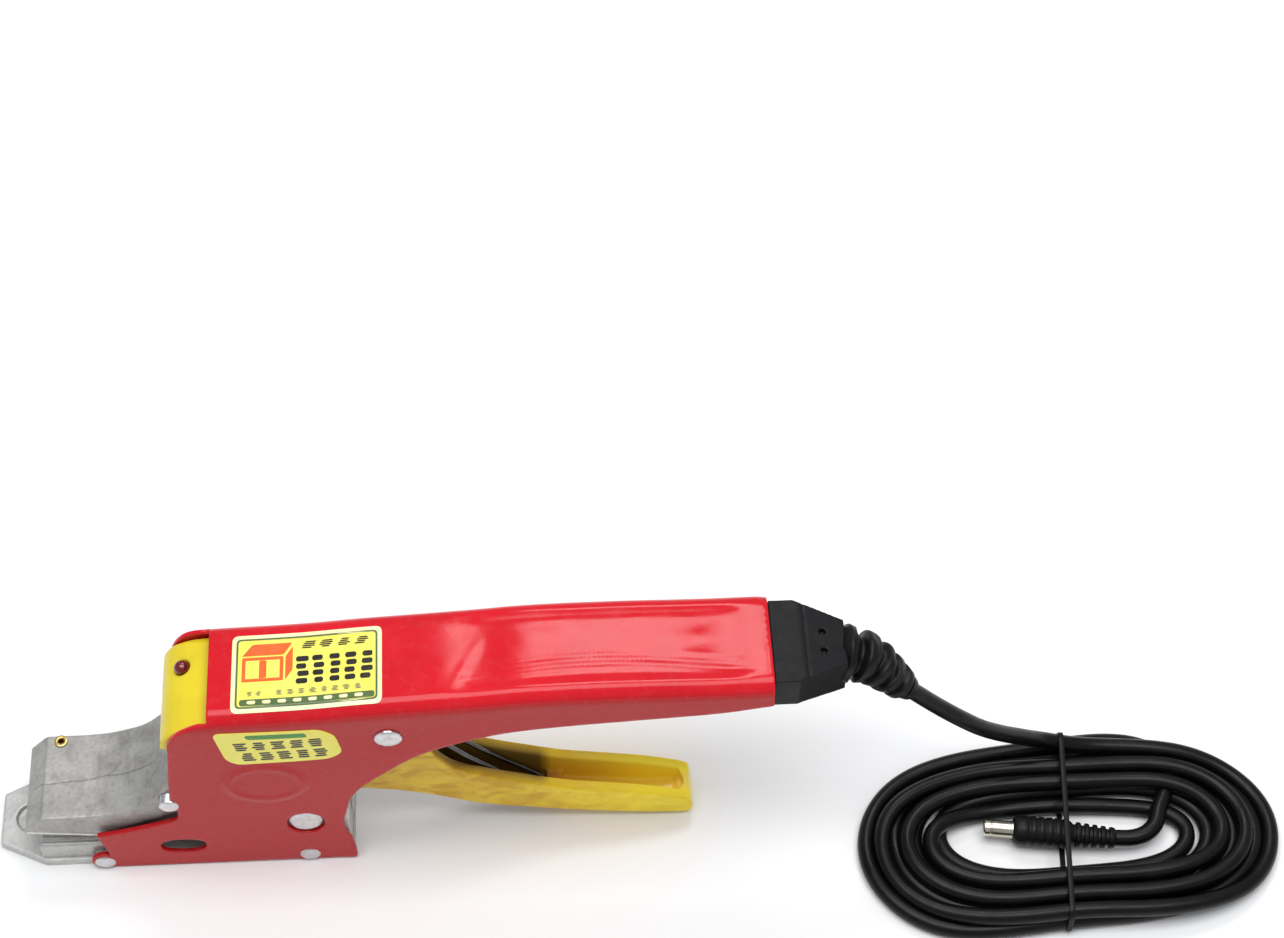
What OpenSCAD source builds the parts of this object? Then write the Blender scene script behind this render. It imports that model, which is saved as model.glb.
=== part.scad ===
// Hand-held electric heat-sealing pliers for plastic strapping, with a 12 V lead.
// Frame: origin on the underside of the base plate, at its centre. +X runs from the
// jaws to the handle, Y is across the tool and +Z is up. All sizes in millimetres.

/* [Body] */
// Width across the two side plates
body_w = 36; // [35:0.5:38]
// Thickness of the folded sheet
sheet_t = 1.5; // [1.2:0.1:1.8]
// Outer radius of the two folds along the top
fold_r = 5.5; // [4:0.5:7]
// Height of the handle's top above the table
handle_top = 94; // [92:0.5:96]
// X of the handle's open end
handle_end = 188; // [184:1:200]
// X of the front edge of the top web
web_front = 18; // [16:0.5:20]

/* [Base] */
// Length of the base plate
base_len = 114; // [112:1:120]
// Thickness of the base plate's front tongue
base_nose_t = 3; // [2.5:0.5:3.5]
// Thickness of the base plate between the side plates
base_t = 5.8; // [5:0.1:6]
// Height of the anvil's face, measured to the tips of its teeth
anvil_top = 10.5; // [10:0.1:10.8]
// Pitch of the anvil's teeth
tooth_pitch = 2; // [1.5:0.5:3]

/* [Jaw] */
// Width of the upper jaw
jaw_w = 30.4; // [28:0.2:31]
// Downward slope, front to back, of the open jaw's pressing face, in degrees
jaw_slope = 8.5; // [8:0.5:9]
// Radius of the jaw's pivot pin
jaw_pin_r = 3.2; // [3:0.1:3.3]

/* [Heater] */
// Thickness of the heated blade
blade_t = 1.2; // [1:0.1:1.5]
// Gap between the jaw's pressing face and the blade
blade_gap = 0.8; // [0.6:0.1:1]

/* [Trigger] */
// Width across the trigger lever
trigger_w = 14.6; // [14:0.2:15]
// Width of the channel inside the lever
trigger_gap = 7.4; // [7.2:0.2:8]
// Radius of the trigger's pivot pin
trigger_pin_r = 3; // [2.5:0.1:3.2]
// Radius of the two link pins
link_pin_r = 2; // [1.8:0.1:2.2]

/* [Lead] */
// Diameter of the cord
cord_d = 5.5; // [5.3:0.1:5.6]
// Outer diameter of the plug's barrel
barrel_d = 5.5; // [5.3:0.1:5.6]
// Length of the plug's barrel
barrel_len = 9.5; // [9:0.5:11]

/* [Hidden] */
$fn = 64;
fine = 0.05;                       // radial running clearance
side = body_w / 2;                 // outer face of a side plate
inner = side - sheet_t;            // inner face of a side plate
core = inner - 0.2;                // half-width of what fits between the plates

// Pivots, as [x, z]
trigger_pivot = [71.5, 74.5];
jaw_pivot = [1.5, 38.5];
arm_pin = [60, 30];                // pull link's pin in the trigger
jaw_nose = [-46, 20.3];            // front end of the pressing face
carrier_pin = [57.4, 6];           // pull link's pin in the carrier, along and off the face
face_len = 22;                     // length of the pressing face
web_slope = 4.1;                   // rise of the front half of the top web, in degrees
web_knee = 116;                    // X where the top web levels out

blade_top = -blade_gap;            // heights off the pressing face
plate_low = 2.3;                   // underside of the carrier's plate
plate_t = 1.6;

block_rivet_at = [42.9, 24];
block_recess_r = 6;                // recessed holes round the two large rivets
base_rivets_at = [[42.7, 3.8], [-22.8, 3.8]];
rivet_r = 1.5;
lobe_at = [-22.8, 4.4];            // rounded lobe of the side plate at the front rivet
lobe_r = 4.2;
front_curve_at = [19, 70.6];       // rounded upper front of the side plate
front_curve_r = 14.4;
window_at = [3.2, 12.6];
window_size = [14.4, 8];
nose_half = 9;                     // base plate's half-width at its tip
nose_taper = 15;                   // length of the base plate's tapered nose
anvil_screws_at = [[-35, -9], [-35, 9]];
lamp_at = [9.5, 6.8, 78.9];         // centre of the lamp's opening in the cap
lamp_tilt = -35;
lamp_r = 2.5;
cap_wall = 2;
slot_half = 8.6;                   // half-width of the slot in the rear block

spring_x = 28;                     // jaw spring, between the jaw's tail and the web
spring_z = [47, 84];
terminal_x = [36, 54];
terminal_z = [76, 86.6];
socket_x = [168, 188.2];
contact_y = 6;                     // terminals, sockets and contact pins, off the middle
contact_z = 86.8;

// Handle's underside and the back of the side plates, from the handle's end down
underside = smooth([[188, 84], [171, 81], [147, 78.8], [123, 76.6], [106, 74], [92, 69.2],
                    [80, 63], [70, 54], [62, 45.5], [58, 38.5], [56, 29]], 5);

// Guide rails under the jaw, across the tool and off the pressing face
rail_in = 9;
rail_out = 13.2;
rail_low = -0.3;
groove_out = 11.2;
eyelet_at = [-35.3, 12.9, 28.36];
eyelet_r = 1.4;

shank = [26, 46];                  // stretch of the blade that carries the heater
insulator_x = [31, 46];
clamp_screws_at = [for (x = [5, 15], y = [-7.2, 7.2]) [shank[0] + x, y]];

// Trigger lever: its lower edge and the rim of its channel, from the grip's end
lever_low = smooth([[165.8, 2], [150.4, 2.9], [124.3, 7], [98.5, 12.8], [85.8, 18.5],
                    [73.2, 23.2], [65, 25]], 4);
lever_rim = smooth([[84.5, 44], [90, 36], [99.3, 30.8], [112.2, 25.4], [125.2, 20.8],
                    [138.2, 18], [151.4, 15], [162.6, 11.2]], 4);
hub_r = 8;
boss_r = 4.4;
bush_r = 3.9;
floor_t = 3;

relief_path = [[211, 0, 84], [217, -0.5, 82], [223, -1.5, 76.5], [228.5, -2, 70], [232, -2, 65.5]];
// Route of the cord from the strain relief down to the hank
lead_route = [[232, -2, 65.5], [237, -2, 60], [243, -2, 53.5], [250, -2, 46.5], [258, -1, 38],
              [266, 1.5, 29.5], [274, 4.5, 21.5], [281, 7, 15], [287, 8, 11.5]];
// Route of the cord from the hank's inside to the plug
tail_route = [[303, -25.6, 5.8], [308, -26, 5.8], [313.5, -24.6, 6], [317.5, -20.5, 6.2],
              [318.4, -15.5, 6.5]];
hank_at = [287, -23];
hank_half = [67, 36];
hank_hole = [37.5, 10];
hank_hole_r = 5;
tie_t = 0.8;                       // thickness of the tie under and over the hank
hank_z = [tie_t, tie_t + cord_d * (1 + sin(60))];
tie_x = 288;
plug_at = [270, -21, 5.75];       // it rests on the tie
plug_turn = -8;                    // the plug lies turned by this angle about Z
plug_r = 4.9;

// ---------- helpers ----------

// Extrudes an [x, z] outline across the tool, from y0 to y1
module across(y0, y1) {
    translate([0, y1, 0])
        rotate([90, 0, 0])
            linear_extrude(y1 - y0)
                children();
}

// Round bar across the tool at [x, z]
module bar(at, r, y0, y1) {
    across(y0, y1)
        translate(at)
            circle(r);
}

// Frame of the pressing face: X runs back along it, Z points up into the jaw
module on_face() {
    translate([jaw_nose[0], 0, jaw_nose[1]])
        rotate([0, jaw_slope, 0])
            children();
}

// A point of the face's frame, as [x, z] of the tool
function from_face(p) = jaw_nose + [p[0] * cos(jaw_slope) + p[1] * sin(jaw_slope),
                                    p[1] * cos(jaw_slope) - p[0] * sin(jaw_slope)];

// Smooth curve through points, with n steps between neighbours
function at_end(p, i) = p[max(0, min(len(p) - 1, i))];
function blend4(a, b, c, d, t) =
    0.5 * (2 * b + (c - a) * t + (2 * a - 5 * b + 4 * c - d) * t * t
           + (3 * b - a - 3 * c + d) * t * t * t);
function smooth(p, n) = concat(
    [for (i = [0:len(p) - 2], k = [0:n - 1])
        blend4(at_end(p, i - 1), p[i], p[i + 1], at_end(p, i + 2), k / n)],
    [p[len(p) - 1]]);

// Sweep of a round section along a path
function unit(v) = v / norm(v);
function heading(p, i) = unit(at_end(p, i + 1) - at_end(p, i - 1));
function carried(p, i, last) = i == len(p) ? [] :
    let (t = heading(p, i), s = unit(last - (last * t) * t))
    concat([s], carried(p, i + 1, s));
function first_side(t) = abs(t[2]) < 0.9 ? unit(cross(t, [0, 0, 1])) : unit(cross(t, [0, 1, 0]));

module tube(path, r, n = 10) {
    sides = carried(path, 0, first_side(heading(path, 0)));
    rings = len(path);
    points = [for (i = [0:rings - 1], k = [0:n - 1])
        let (u = cross(heading(path, i), sides[i]), a = 360 * k / n)
        path[i] + r * (cos(a) * sides[i] + sin(a) * u)];
    walls = [for (i = [0:rings - 2], k = [0:n - 1])
        let (k2 = (k + 1) % n)
        [i * n + k, (i + 1) * n + k, (i + 1) * n + k2, i * n + k2]];
    start = [for (k = [0:n - 1]) k];
    finish = [for (k = [n - 1:-1:0]) (rings - 1) * n + k];
    polyhedron(points, concat([start], walls, [finish]));
}

// Helix about +Z from the origin
function helix(r, pitch, turns, steps = 12) =
    [for (i = [0:turns * steps]) let (a = 360 * i / steps)
        [r * cos(a), r * sin(a), pitch * i / steps]];

// Domed rivet head seen from +Z, with a dimple, seated at z = 0
module rivet_head(r, h, dimple) {
    rotate_extrude()
        polygon([[0, 0], [r, 0], [r, h * 0.4], [r * 0.8, h * 0.85], [r * 0.5, h],
                 [dimple, h], [0, h * 0.4]]);
}

// Places children on the outer face of each side plate, Z pointing outwards
module on_both_sides(at) {
    translate([at[0], side, at[1]])
        rotate([-90, 0, 0])
            children();
    translate([at[0], -side, at[1]])
        rotate([90, 0, 0])
            children();
}

module slot_2d(len, wide) {
    square([len - wide, wide], center = true);
    for (s = [-1, 1])
        translate([s * (len - wide) / 2, 0])
            circle(wide / 2);
}

// Bar of the shell's rounded section, its top along the web, inset by t
module folded_bar(x0, x1, t) {
    w = 2 * (side - t);
    r = fold_r - t;
    translate([x0, 0, -t])
        rotate([90, 0, 90])
            linear_extrude(x1 - x0) {
                translate([-w / 2, -200])
                    square([w, 200 - r]);
                translate([-w / 2 + r, -r - 0.01])
                    square([w - 2 * r, r + 0.01]);
                for (s = [-1, 1])
                    translate([s * (w / 2 - r), -r])
                        circle(r);
            }
}

module under_web(t) {
    intersection() {
        translate([0, 0, handle_top])
            folded_bar(-60, handle_end + 10, t);
        translate([web_knee, 0, handle_top])
            rotate([0, -web_slope, 0])
                folded_bar(-200, 100, t);
    }
}

// ---------- body ----------

// Points of an arc about c, from angle a0 to a1 by step
function arc(c, r, a0, step, a1) = [for (a = [a0:step:a1]) c + r * [cos(a), sin(a)]];

module side_outline() {
    above = handle_top + 20;       // past the web, which trims the outline
    difference() {
        polygon(concat(
            arc(lobe_at, lobe_r, -62, -15, -302),
            [[-23.2, 20.9], [-13, 23.4], [2.7, 29.3], [3.7, 34],
             [2.4, 44], [4, 62.7], [4.8, 70.2]],
            arc(front_curve_at, front_curve_r, 165, -15, 105),
            [[web_front, 84.6], [web_front, above], [handle_end, above], [handle_end, 84]],
            underside,
            [[57, 15.5], [57.8, 4.8], [58.2, 0.6]]));
        translate(jaw_pivot)
            circle(jaw_pin_r + fine + 0.02);
        translate(window_at)
            slot_2d(window_size[0], window_size[1]);
        translate(trigger_pivot)
            circle(trigger_pin_r + fine);
        translate(block_rivet_at)
            circle(block_recess_r);
        for (p = base_rivets_at)
            translate(p)
                circle(rivet_r + fine);
    }
}

module body_shell() {
    color([0.80, 0.10, 0.14])
        difference() {
            intersection() {
                across(-side, side) side_outline();
                under_web(0);
            }
            under_web(sheet_t);
        }
}

module base_outline() {
    nose = -base_len / 2;
    polygon([[nose, -nose_half], [nose + nose_taper, -core], [base_len / 2, -core],
             [base_len / 2, core], [nose + nose_taper, core], [nose, nose_half]]);
}

module base_plate() {
    color([0.62, 0.62, 0.60])
        difference() {
            union() {
                linear_extrude(base_nose_t)
                    base_outline();
                translate([-26, -core, 0])
                    cube([base_len / 2 + 26, 2 * core, base_t]);
            }
            translate([-47.5, 0, base_nose_t - 0.6])
                cylinder(h = 2, r = 5);
            for (p = base_rivets_at) {
                bar(p, rivet_r + fine, -core - 1, -core + 6);
                bar(p, rivet_r + fine, core - 6, core + 1);
            }
            for (p = anvil_screws_at)
                translate([p[0], p[1], -1]) {
                    cylinder(h = 10, r = 1.6);
                    cylinder(h = 2.6, r = 2.9);
                }
        }
}

module anvil() {
    half = 15;
    teeth = floor(2 * half / tooth_pitch);
    depth = tooth_pitch * 0.4;
    color([0.72, 0.72, 0.70])
        difference() {
            across(-half, half)
                polygon([[-43, base_nose_t], [-26.3, base_nose_t], [-26.3, base_t + 0.1],
                         [-22.5, base_t + 0.1], [-22.5, anvil_top], [-42, anvil_top],
                         [-43, anvil_top - 1]]);
            translate([-50, 0, anvil_top])
                rotate([90, 0, 90])
                    linear_extrude(40)
                        for (i = [0:teeth])
                            translate([-half + i * tooth_pitch, 0])
                                polygon([[-tooth_pitch * 0.4, 0.01], [0, -depth],
                                         [tooth_pitch * 0.4, 0.01]]);
            for (p = anvil_screws_at)
                translate(p)
                    cylinder(h = 8, r = 1.5 + fine);
        }
}

module anvil_screws() {
    color([0.35, 0.35, 0.36])
        for (p = anvil_screws_at)
            translate([p[0], p[1], 0.1])
                difference() {
                    union() {
                        cylinder(h = 7, r = 1.5);
                        cylinder(h = 1.4, r = 2.7);
                    }
                    translate([-2.2, -0.3, -1])
                        cube([4.4, 0.6, 1.6]);
                }
}

module rear_block() {
    color([0.58, 0.58, 0.56])
        difference() {
            across(-core, core)
                polygon([[34, base_t], [56.5, base_t], [56.5, 36], [52, 42], [46, 45], [38, 45],
                         [34, 40]]);
            translate([30, -slot_half, 10])
                cube([30, 2 * slot_half, 40]);
            bar(block_rivet_at, 3 + fine, -core - 1, -10);
            bar(block_rivet_at, 3 + fine, 10, core + 1);
        }
}

module cap_outline(t) {
    polygon(concat(
        [[2.4 + t, 69.5 - t * 2]],
        [for (a = [180:-15:90]) [17.4 + (15 - t) * cos(a), 71 + (10.5 - t) * sin(a)]],
        [[24 + t, 81.5 - t], [24 + t, 78.8 - t * 5], [12, 69.5 - t * 2]]));
}

module front_cap() {
    color([0.93, 0.83, 0.16])
        difference() {
            across(-core, core) cap_outline(0);
            across(-core + cap_wall, core - cap_wall) cap_outline(cap_wall);
            translate(lamp_at)
                rotate([0, lamp_tilt, 0])
                    translate([0, 0, -8])
                        cylinder(h = 16, r = lamp_r + fine);
        }
}

module on_lamp() {
    translate(lamp_at)
        rotate([0, lamp_tilt, 0])
            children();
}

module indicator_lamp() {
    color([0.45, 0.04, 0.07])
        on_lamp() {
            translate([0, 0, -4])
                cylinder(h = 4.6, r = lamp_r);
            intersection() {
                translate([0, 0, 0.6])
                    sphere(lamp_r);
                translate([-5, -5, 0])
                    cube([10, 10, 5]);
            }
        }
}

module lamp_board() {
    color([0.16, 0.40, 0.22])
        on_lamp()
            translate([-3.2, -4, -5.2])
                cube([9, 8, 1.2]);
}

module top_label() {
    color([0.93, 0.90, 0.55])
        translate([web_knee, 0, handle_top])
            rotate([0, -web_slope, 0])
                translate([-90.7, -side + fold_r, 0])
                    cube([45.2, 2 * (side - fold_r), 0.25]);
}

module side_label() {
    color([0.93, 0.86, 0.30])
        across(-side - 0.25, -side)
            polygon([[20.5, 80.6], [51.6, 80.6], [56, 77], [57, 67.5], [53.5, 64.2], [25, 63.4],
                     [21.5, 67], [18.8, 77.5]]);
}

module trigger_pin() {
    color([0.78, 0.78, 0.78]) {
        bar(trigger_pivot, trigger_pin_r, -side, side);
        on_both_sides(trigger_pivot)
            rivet_head(4.25, 1, 0.7);
    }
}

module block_rivets() {
    color([0.80, 0.80, 0.80])
        for (s = [-1, 1])
            translate([block_rivet_at[0], s * (core + 0.05), block_rivet_at[1]])
                rotate([-90 * s, 0, 0]) {
                    rivet_head(5.7, 1.5, 1.2);
                    translate([0, 0, -6])
                        cylinder(h = 6.01, r = 3);
                }
}

module base_rivets() {
    color([0.78, 0.78, 0.78])
        for (p = base_rivets_at)
            on_both_sides(p) {
                rivet_head(3.3, 0.9, 0.6);
                translate([0, 0, -6.5])
                    cylinder(h = 6.51, r = rivet_r);
            }
}

// ---------- wiring ----------

module spring_seat() {
    color([0.55, 0.55, 0.56])
        translate([spring_x, 0, 0]) {
            translate([0, 0, spring_z[1] + 0.2])
                cylinder(h = 2.1, r = 4.5);
            translate([0, 0, spring_z[1] - 4.5])
                cylinder(h = 5, r = 2.4);
        }
}

module terminal_block() {
    color([0.88, 0.87, 0.82])
        difference() {
            translate([terminal_x[0], -12, terminal_z[0]])
                cube([terminal_x[1] - terminal_x[0], 24, terminal_z[1] - terminal_z[0]]);
            for (s = [-1, 1])
                translate([terminal_x[0] + 9, contact_y * s, terminal_z[0] - 1])
                    cylinder(h = 4, r = 2.2);
        }
}

module terminal_screws() {
    color([0.80, 0.70, 0.35])
        for (s = [-1, 1])
            translate([terminal_x[0] + 9, contact_y * s, terminal_z[0] + 0.4])
                difference() {
                    cylinder(h = 2.5, r = 2);
                    translate([-3, -0.3, -1])
                        cube([6, 0.6, 1.6]);
                }
}

module power_wires() {
    color([0.15, 0.15, 0.16])
        for (s = [-1, 1])
            tube(smooth([[socket_x[0], 5 * s, 86], [155, 8 * s, 86.5], [120, 10 * s, 87],
                         [85, 10 * s, 85.5], [terminal_x[1], 8 * s, 81]], 6), 1.1, 8);
}

module lamp_wires() {
    color([0.55, 0.10, 0.10])
        for (s = [-1, 1])
            let (y = lamp_at[1] + 1.5 * s)
                tube(smooth([[15.9, y, 76], [24, y, 75.2], [33, y, 78], [terminal_x[0], y, 80]], 5),
                     0.6, 8);
}

module handle_socket() {
    color([0.10, 0.10, 0.11])
        difference() {
            intersection() {
                translate([socket_x[0], -side, 81.6])
                    cube([socket_x[1] - socket_x[0], body_w, 20]);
                under_web(sheet_t + 0.15);
            }
            for (s = [-1, 1])
                translate([socket_x[1] - 8, contact_y * s, contact_z])
                    rotate([0, 90, 0])
                        cylinder(h = 9, r = 1.6);
        }
}

// ---------- cord ----------

module cord_connector() {
    x0 = socket_x[1];
    wide = 14.6;
    color([0.09, 0.09, 0.10]) {
        intersection() {
            translate([0, 0, 70])
                linear_extrude(30)
                    polygon([[x0, -wide], [x0 + 7.5, -wide], [211, -8], [211, 8], [x0 + 7.5, wide],
                             [x0, wide]]);
            across(-20, 20)
                polygon([[x0, 79.2], [x0, 92.6], [197, 92.6], [211, 90.5], [211, 76.5], [197, 79.2]]);
        }
        for (s = [-1, 1])
            translate([x0 - 7, contact_y * s, contact_z])
                rotate([0, 90, 0])
                    cylinder(h = 7.1, r = 1.5);
    }
}

// Ribbed sleeve that guides the cord out of the connector
module strain_relief() {
    path = smooth(relief_path, 4);
    last = len(path) - 1;
    color([0.09, 0.09, 0.10]) {
        for (i = [0:last - 1]) {
            t = heading(path, i);
            f = i / last;
            translate(path[i])
                rotate([0, acos(t[2]), atan2(t[1], t[0])])
                    translate([0, 0, -0.4])
                        cylinder(h = norm(path[i + 1] - path[i]) * 0.55,
                                 r = 9 - 4 * f);
        }
        tube(path, 4.4, 12);
    }
}

module cord_lead() {
    color([0.07, 0.07, 0.08])
        tube(smooth(lead_route, 6), cord_d / 2);
}

module cord_tail() {
    color([0.07, 0.07, 0.08])
        tube(smooth(tail_route, 4), cord_d / 2);
}

module stadium(half) {
    slot_2d(2 * half[0], 2 * half[1]);
}

module cord_hank() {
    color([0.07, 0.07, 0.08])
        translate([hank_at[0], hank_at[1], hank_z[0]])
            linear_extrude(hank_z[1] - hank_z[0])
                difference() {
                    stadium(hank_half);
                    offset(r = hank_hole_r)
                        square(2 * (hank_hole - [hank_hole_r, hank_hole_r]), center = true);
                }
}

module cord_tie() {
    half = hank_half[1];
    color([0.05, 0.05, 0.06])
        translate([tie_x - 0.8, hank_at[1], 0])
            rotate([90, 0, 90])
                linear_extrude(1.6)
                    difference() {
                        translate([-half - tie_t, 0])
                            square([2 * (half + tie_t), hank_z[1] + tie_t]);
                        translate([-half, hank_z[0]])
                            square([2 * half, hank_z[1] - hank_z[0]]);
                    }
}

// Frame of the plug: X runs back from the shoulder, along its axis
module on_plug() {
    translate(plug_at)
        rotate([0, 0, plug_turn])
            rotate([0, 90, 0])
                children();
}

module plug_body() {
    color([0.09, 0.09, 0.10])
        on_plug()
            rotate_extrude()
                polygon([[0, 0], [4.2, 0], [plug_r, 1.2], [plug_r, 17], [4.2, 20], [4.2, 21.5],
                         [3.6, 21.5], [3.6, 23], [4.2, 23], [4.2, 24.5], [3.5, 24.5], [3.5, 26],
                         [4, 26], [4, 27.5], [3.4, 27.5], [3.4, 29], [3.8, 29], [3.8, 30.5],
                         [3.2, 30.5], [3.2, 33.3], [0, 33.3]]);
}

module plug_barrel() {
    color([0.75, 0.73, 0.66])
        on_plug()
            translate([0, 0, -barrel_len])
                difference() {
                    cylinder(h = barrel_len, r = barrel_d / 2);
                    translate([0, 0, -1])
                        cylinder(h = barrel_len, r = 1.05);
                }
}

// ---------- jaw ----------

module jaw_outline() {
    back = from_face([face_len, 0]);
    polygon(concat(
        [jaw_nose, [-45.7, 21.6], [-40.6, 27.6], [-39.6, 28.2]],
        smooth([[-33.7, 28.3], [-23, 28.7], [-14.4, 30.9], [-8, 34], [-2.5, 39.4], [1, 44.5]], 4),
        [[6, 48], [12, 50], [12, 32], [4, 29.5], [-14, 21.4]],
        [back]));
}

module jaw_tail_outline() {
    polygon([[8, 32], [18, 36], [32, 40.5], [32.5, 44], [31, 46.5], [12, 50], [8, 50]]);
}

module upper_jaw() {
    half = jaw_w / 2;
    color([0.66, 0.66, 0.63])
        difference() {
            union() {
                across(-half, half) jaw_outline();
                across(-7, 7) jaw_tail_outline();
                for (s = [-1, 1])
                    across(s > 0 ? rail_in : -rail_out, s > 0 ? rail_out : -rail_in)
                        polygon([from_face([25.5, rail_low]), from_face([62, rail_low]),
                                 [15, 33], [-10, 24]]);
                translate([spring_x, 0, 45])
                    cylinder(h = 6, r = 2.4);
            }
            bar(jaw_pivot, jaw_pin_r, -half - 1, half + 1);
            for (s = [-1, 1])
                on_face()
                    translate([30, s > 0 ? 0 : -groove_out, plate_low - 0.3])
                        cube([60, groove_out, plate_t + 0.7]);
            translate([eyelet_at[0], eyelet_at[1], 22])
                cylinder(h = 8, r = eyelet_r + fine);
        }
}

module jaw_pin() {
    color([0.76, 0.76, 0.76]) {
        bar(jaw_pivot, jaw_pin_r, -side - 0.2, side + 0.2);
        for (s = [-1, 1])
            translate([jaw_pivot[0], s * (side + 0.2), jaw_pivot[1]])
                rotate([-90 * s, 0, 0])
                    rivet_head(jaw_pin_r, 0.6, 0.6);
    }
}

module jaw_eyelet() {
    color([0.80, 0.66, 0.30])
        translate(eyelet_at)
            rotate_extrude()
                polygon([[0.85, -5], [eyelet_r, -5], [eyelet_r, 0], [2.1, 0], [2.1, 0.3],
                         [1.7, 0.6], [1.1, 0.6], [0.85, 0.3]]);
}

module jaw_spring() {
    wire = 0.5;
    top = spring_z[1] - wire;
    low = spring_z[0] + wire;
    turns = 12;
    color([0.45, 0.45, 0.47])
        translate([spring_x, 0, low])
            tube(helix(3.2, (top - low) / turns, turns), wire, 6);
}

// ---------- heater carriage, all in the pressing face's frame ----------

module heater_blade() {
    color([0.83, 0.82, 0.78])
        on_face()
            translate([0, 0, blade_top - blade_t])
                linear_extrude(blade_t)
                    polygon([[0.5, -14.5], [23, -14.5], [25.5, -8.8], [shank[1], -8.8],
                             [shank[1], 8.8], [25.5, 8.8], [23, 14.5], [0.5, 14.5]]);
}

module heater_element() {
    color([0.92, 0.90, 0.84])
        on_face()
            translate([shank[0] + 1, -5.5, blade_top - blade_t - 2])
                cube([shank[1] - shank[0] - 2, 11, 2]);
}

module heater_clamp() {
    low = blade_top - blade_t - 3.2;
    color([0.60, 0.60, 0.60])
        on_face()
            difference() {
                union() {
                    translate([shank[0], -8.6, low])
                        cube([shank[1] - shank[0], 17.2, 1.2]);
                    for (s = [-1, 1])
                        translate([shank[0] + 2, s * 7.2 - 1.2, low])
                            cube([16, 2.4, 3.2]);
                }
                for (p = clamp_screws_at)
                    translate([p[0], p[1], low - 1])
                        cylinder(h = 6, r = 0.9 + fine);
            }
}

module clamp_screws() {
    low = blade_top - blade_t - 3.2;
    color([0.70, 0.70, 0.70])
        on_face()
            for (p = clamp_screws_at)
                translate([p[0], p[1], low]) {
                    cylinder(h = 3.15, r = 0.9);
                    translate([0, 0, -0.6])
                        cylinder(h = 0.6, r = 1.2);
                }
}

module heat_insulator() {
    color([0.75, 0.70, 0.55])
        on_face()
            translate([insulator_x[0], -8.5, blade_top])
                cube([insulator_x[1] - insulator_x[0], 17, plate_low - blade_top]);
}

module blade_carrier() {
    color([0.55, 0.56, 0.58])
        on_face()
            difference() {
                union() {
                    translate([0, 0, plate_low])
                        linear_extrude(plate_t)
                            polygon([[31, -11], [52, -11], [52, -7.2], [62.5, -7.2], [62.5, -3],
                                     [51.5, -3], [51.5, 3], [62.5, 3], [62.5, 7.2], [52, 7.2],
                                     [52, 11], [31, 11]]);
                    for (s = [-1, 1])
                        across(s > 0 ? 3 : -7, s > 0 ? 7 : -3)
                            polygon([[52.5, plate_low], [62.5, plate_low], [62, 6], [60.5, 9.2], [57.4, 10],
                                     [54.4, 9.2], [53, 6]]);
                }
                bar(carrier_pin, link_pin_r + fine, -8, 8);
            }
}

module carrier_pin() {
    color([0.72, 0.72, 0.72])
        on_face()
            bar(carrier_pin, link_pin_r, -7.1, 7.1);
}

module heater_leads() {
    start = from_face([shank[1] - 0.9, blade_top - blade_t - 1]);
    color([0.80, 0.78, 0.70])
        for (s = [-1, 1])
            tube(smooth([[start[0], 4 * s, start[1]], [6, 4.6 * s, 8.9], [14, 7 * s, 8.6],
                         [20, 10 * s, 12], [22, 10.5 * s, 28], [23, 10.5 * s, 50],
                         [29, 9.5 * s, 68], [36, 8 * s, 74], [44, 7 * s, 75.2]], 5), 0.7, 8);
}

// ---------- trigger ----------

module lever_outline() {
    translate(trigger_pivot)
        circle(hub_r);
    translate(arm_pin)
        circle(boss_r);
    polygon(concat(
        [[63.5, 74], [57.8, 46], [55.8, 31], [57, 26.8]],
        [for (i = [len(lever_low) - 1:-1:0]) lever_low[i]],
        [[166.9, 4.5], [165.9, 9]],
        [for (i = [len(lever_rim) - 1:-1:0]) lever_rim[i]],
        [[79.5, 60], [79.5, 74]]));
}

module channel_outline() {
    translate(trigger_pivot)
        circle(hub_r + 1);
    translate(arm_pin)
        circle(boss_r + 1);
    polygon(concat(
        [[50, 74], [50, 20], [57, 20], arm_pin],
        [for (i = [len(lever_low) - 1:-1:4]) lever_low[i] + [1.5, floor_t]],
        [[161.2, 6.2], [163, 8.5], [163, 40], [84, 80]]));
}

module trigger() {
    half = trigger_w / 2;
    gap = trigger_gap / 2;
    color([0.93, 0.80, 0.16])
        difference() {
            across(-half, half) lever_outline();
            across(-gap, gap) channel_outline();
            bar(trigger_pivot, bush_r + fine, -half - 1, half + 1);
            bar(arm_pin, link_pin_r + 0.02, -half - 1, half + 1);
        }
}

module trigger_bush() {
    color([0.70, 0.58, 0.32])
        difference() {
            bar(trigger_pivot, bush_r, -trigger_w / 2 - 0.5, trigger_w / 2 + 0.5);
            bar(trigger_pivot, trigger_pin_r + fine, -trigger_w / 2 - 1, trigger_w / 2 + 1);
        }
}

// Double torsion spring: two coils round the bush, a looped leg on the channel's
// floor and two legs that bear on the underside of the web
module trigger_spring() {
    wire = 0.7;
    coil_r = 5;
    turns = 1.25;
    half_path = concat(
        [[56.5, -2.9, 87.2], [62, -2.9, 84.4]],
        [for (i = [0:turns * 16]) let (a = 90 - 360 * i / 16)
            [trigger_pivot[0] + coil_r * cos(a), -2.9 + 1.9 * i / (turns * 16),
             trigger_pivot[1] + coil_r * sin(a)]],
        [[77.3, -1.8, 67], [83, -2.3, 51.5], [92, -2.6, 38.4], [102, -2.6, 27.5],
         [112, -2.6, 18], [117, -2, 14.2], [118.6, -1, 13]]);
    n = len(half_path);
    color([0.16, 0.15, 0.15])
        tube(concat(half_path,
                    [for (i = [n - 1:-1:0])
                        [half_path[i][0], -half_path[i][1], half_path[i][2]]]), wire, 8);
}

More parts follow.
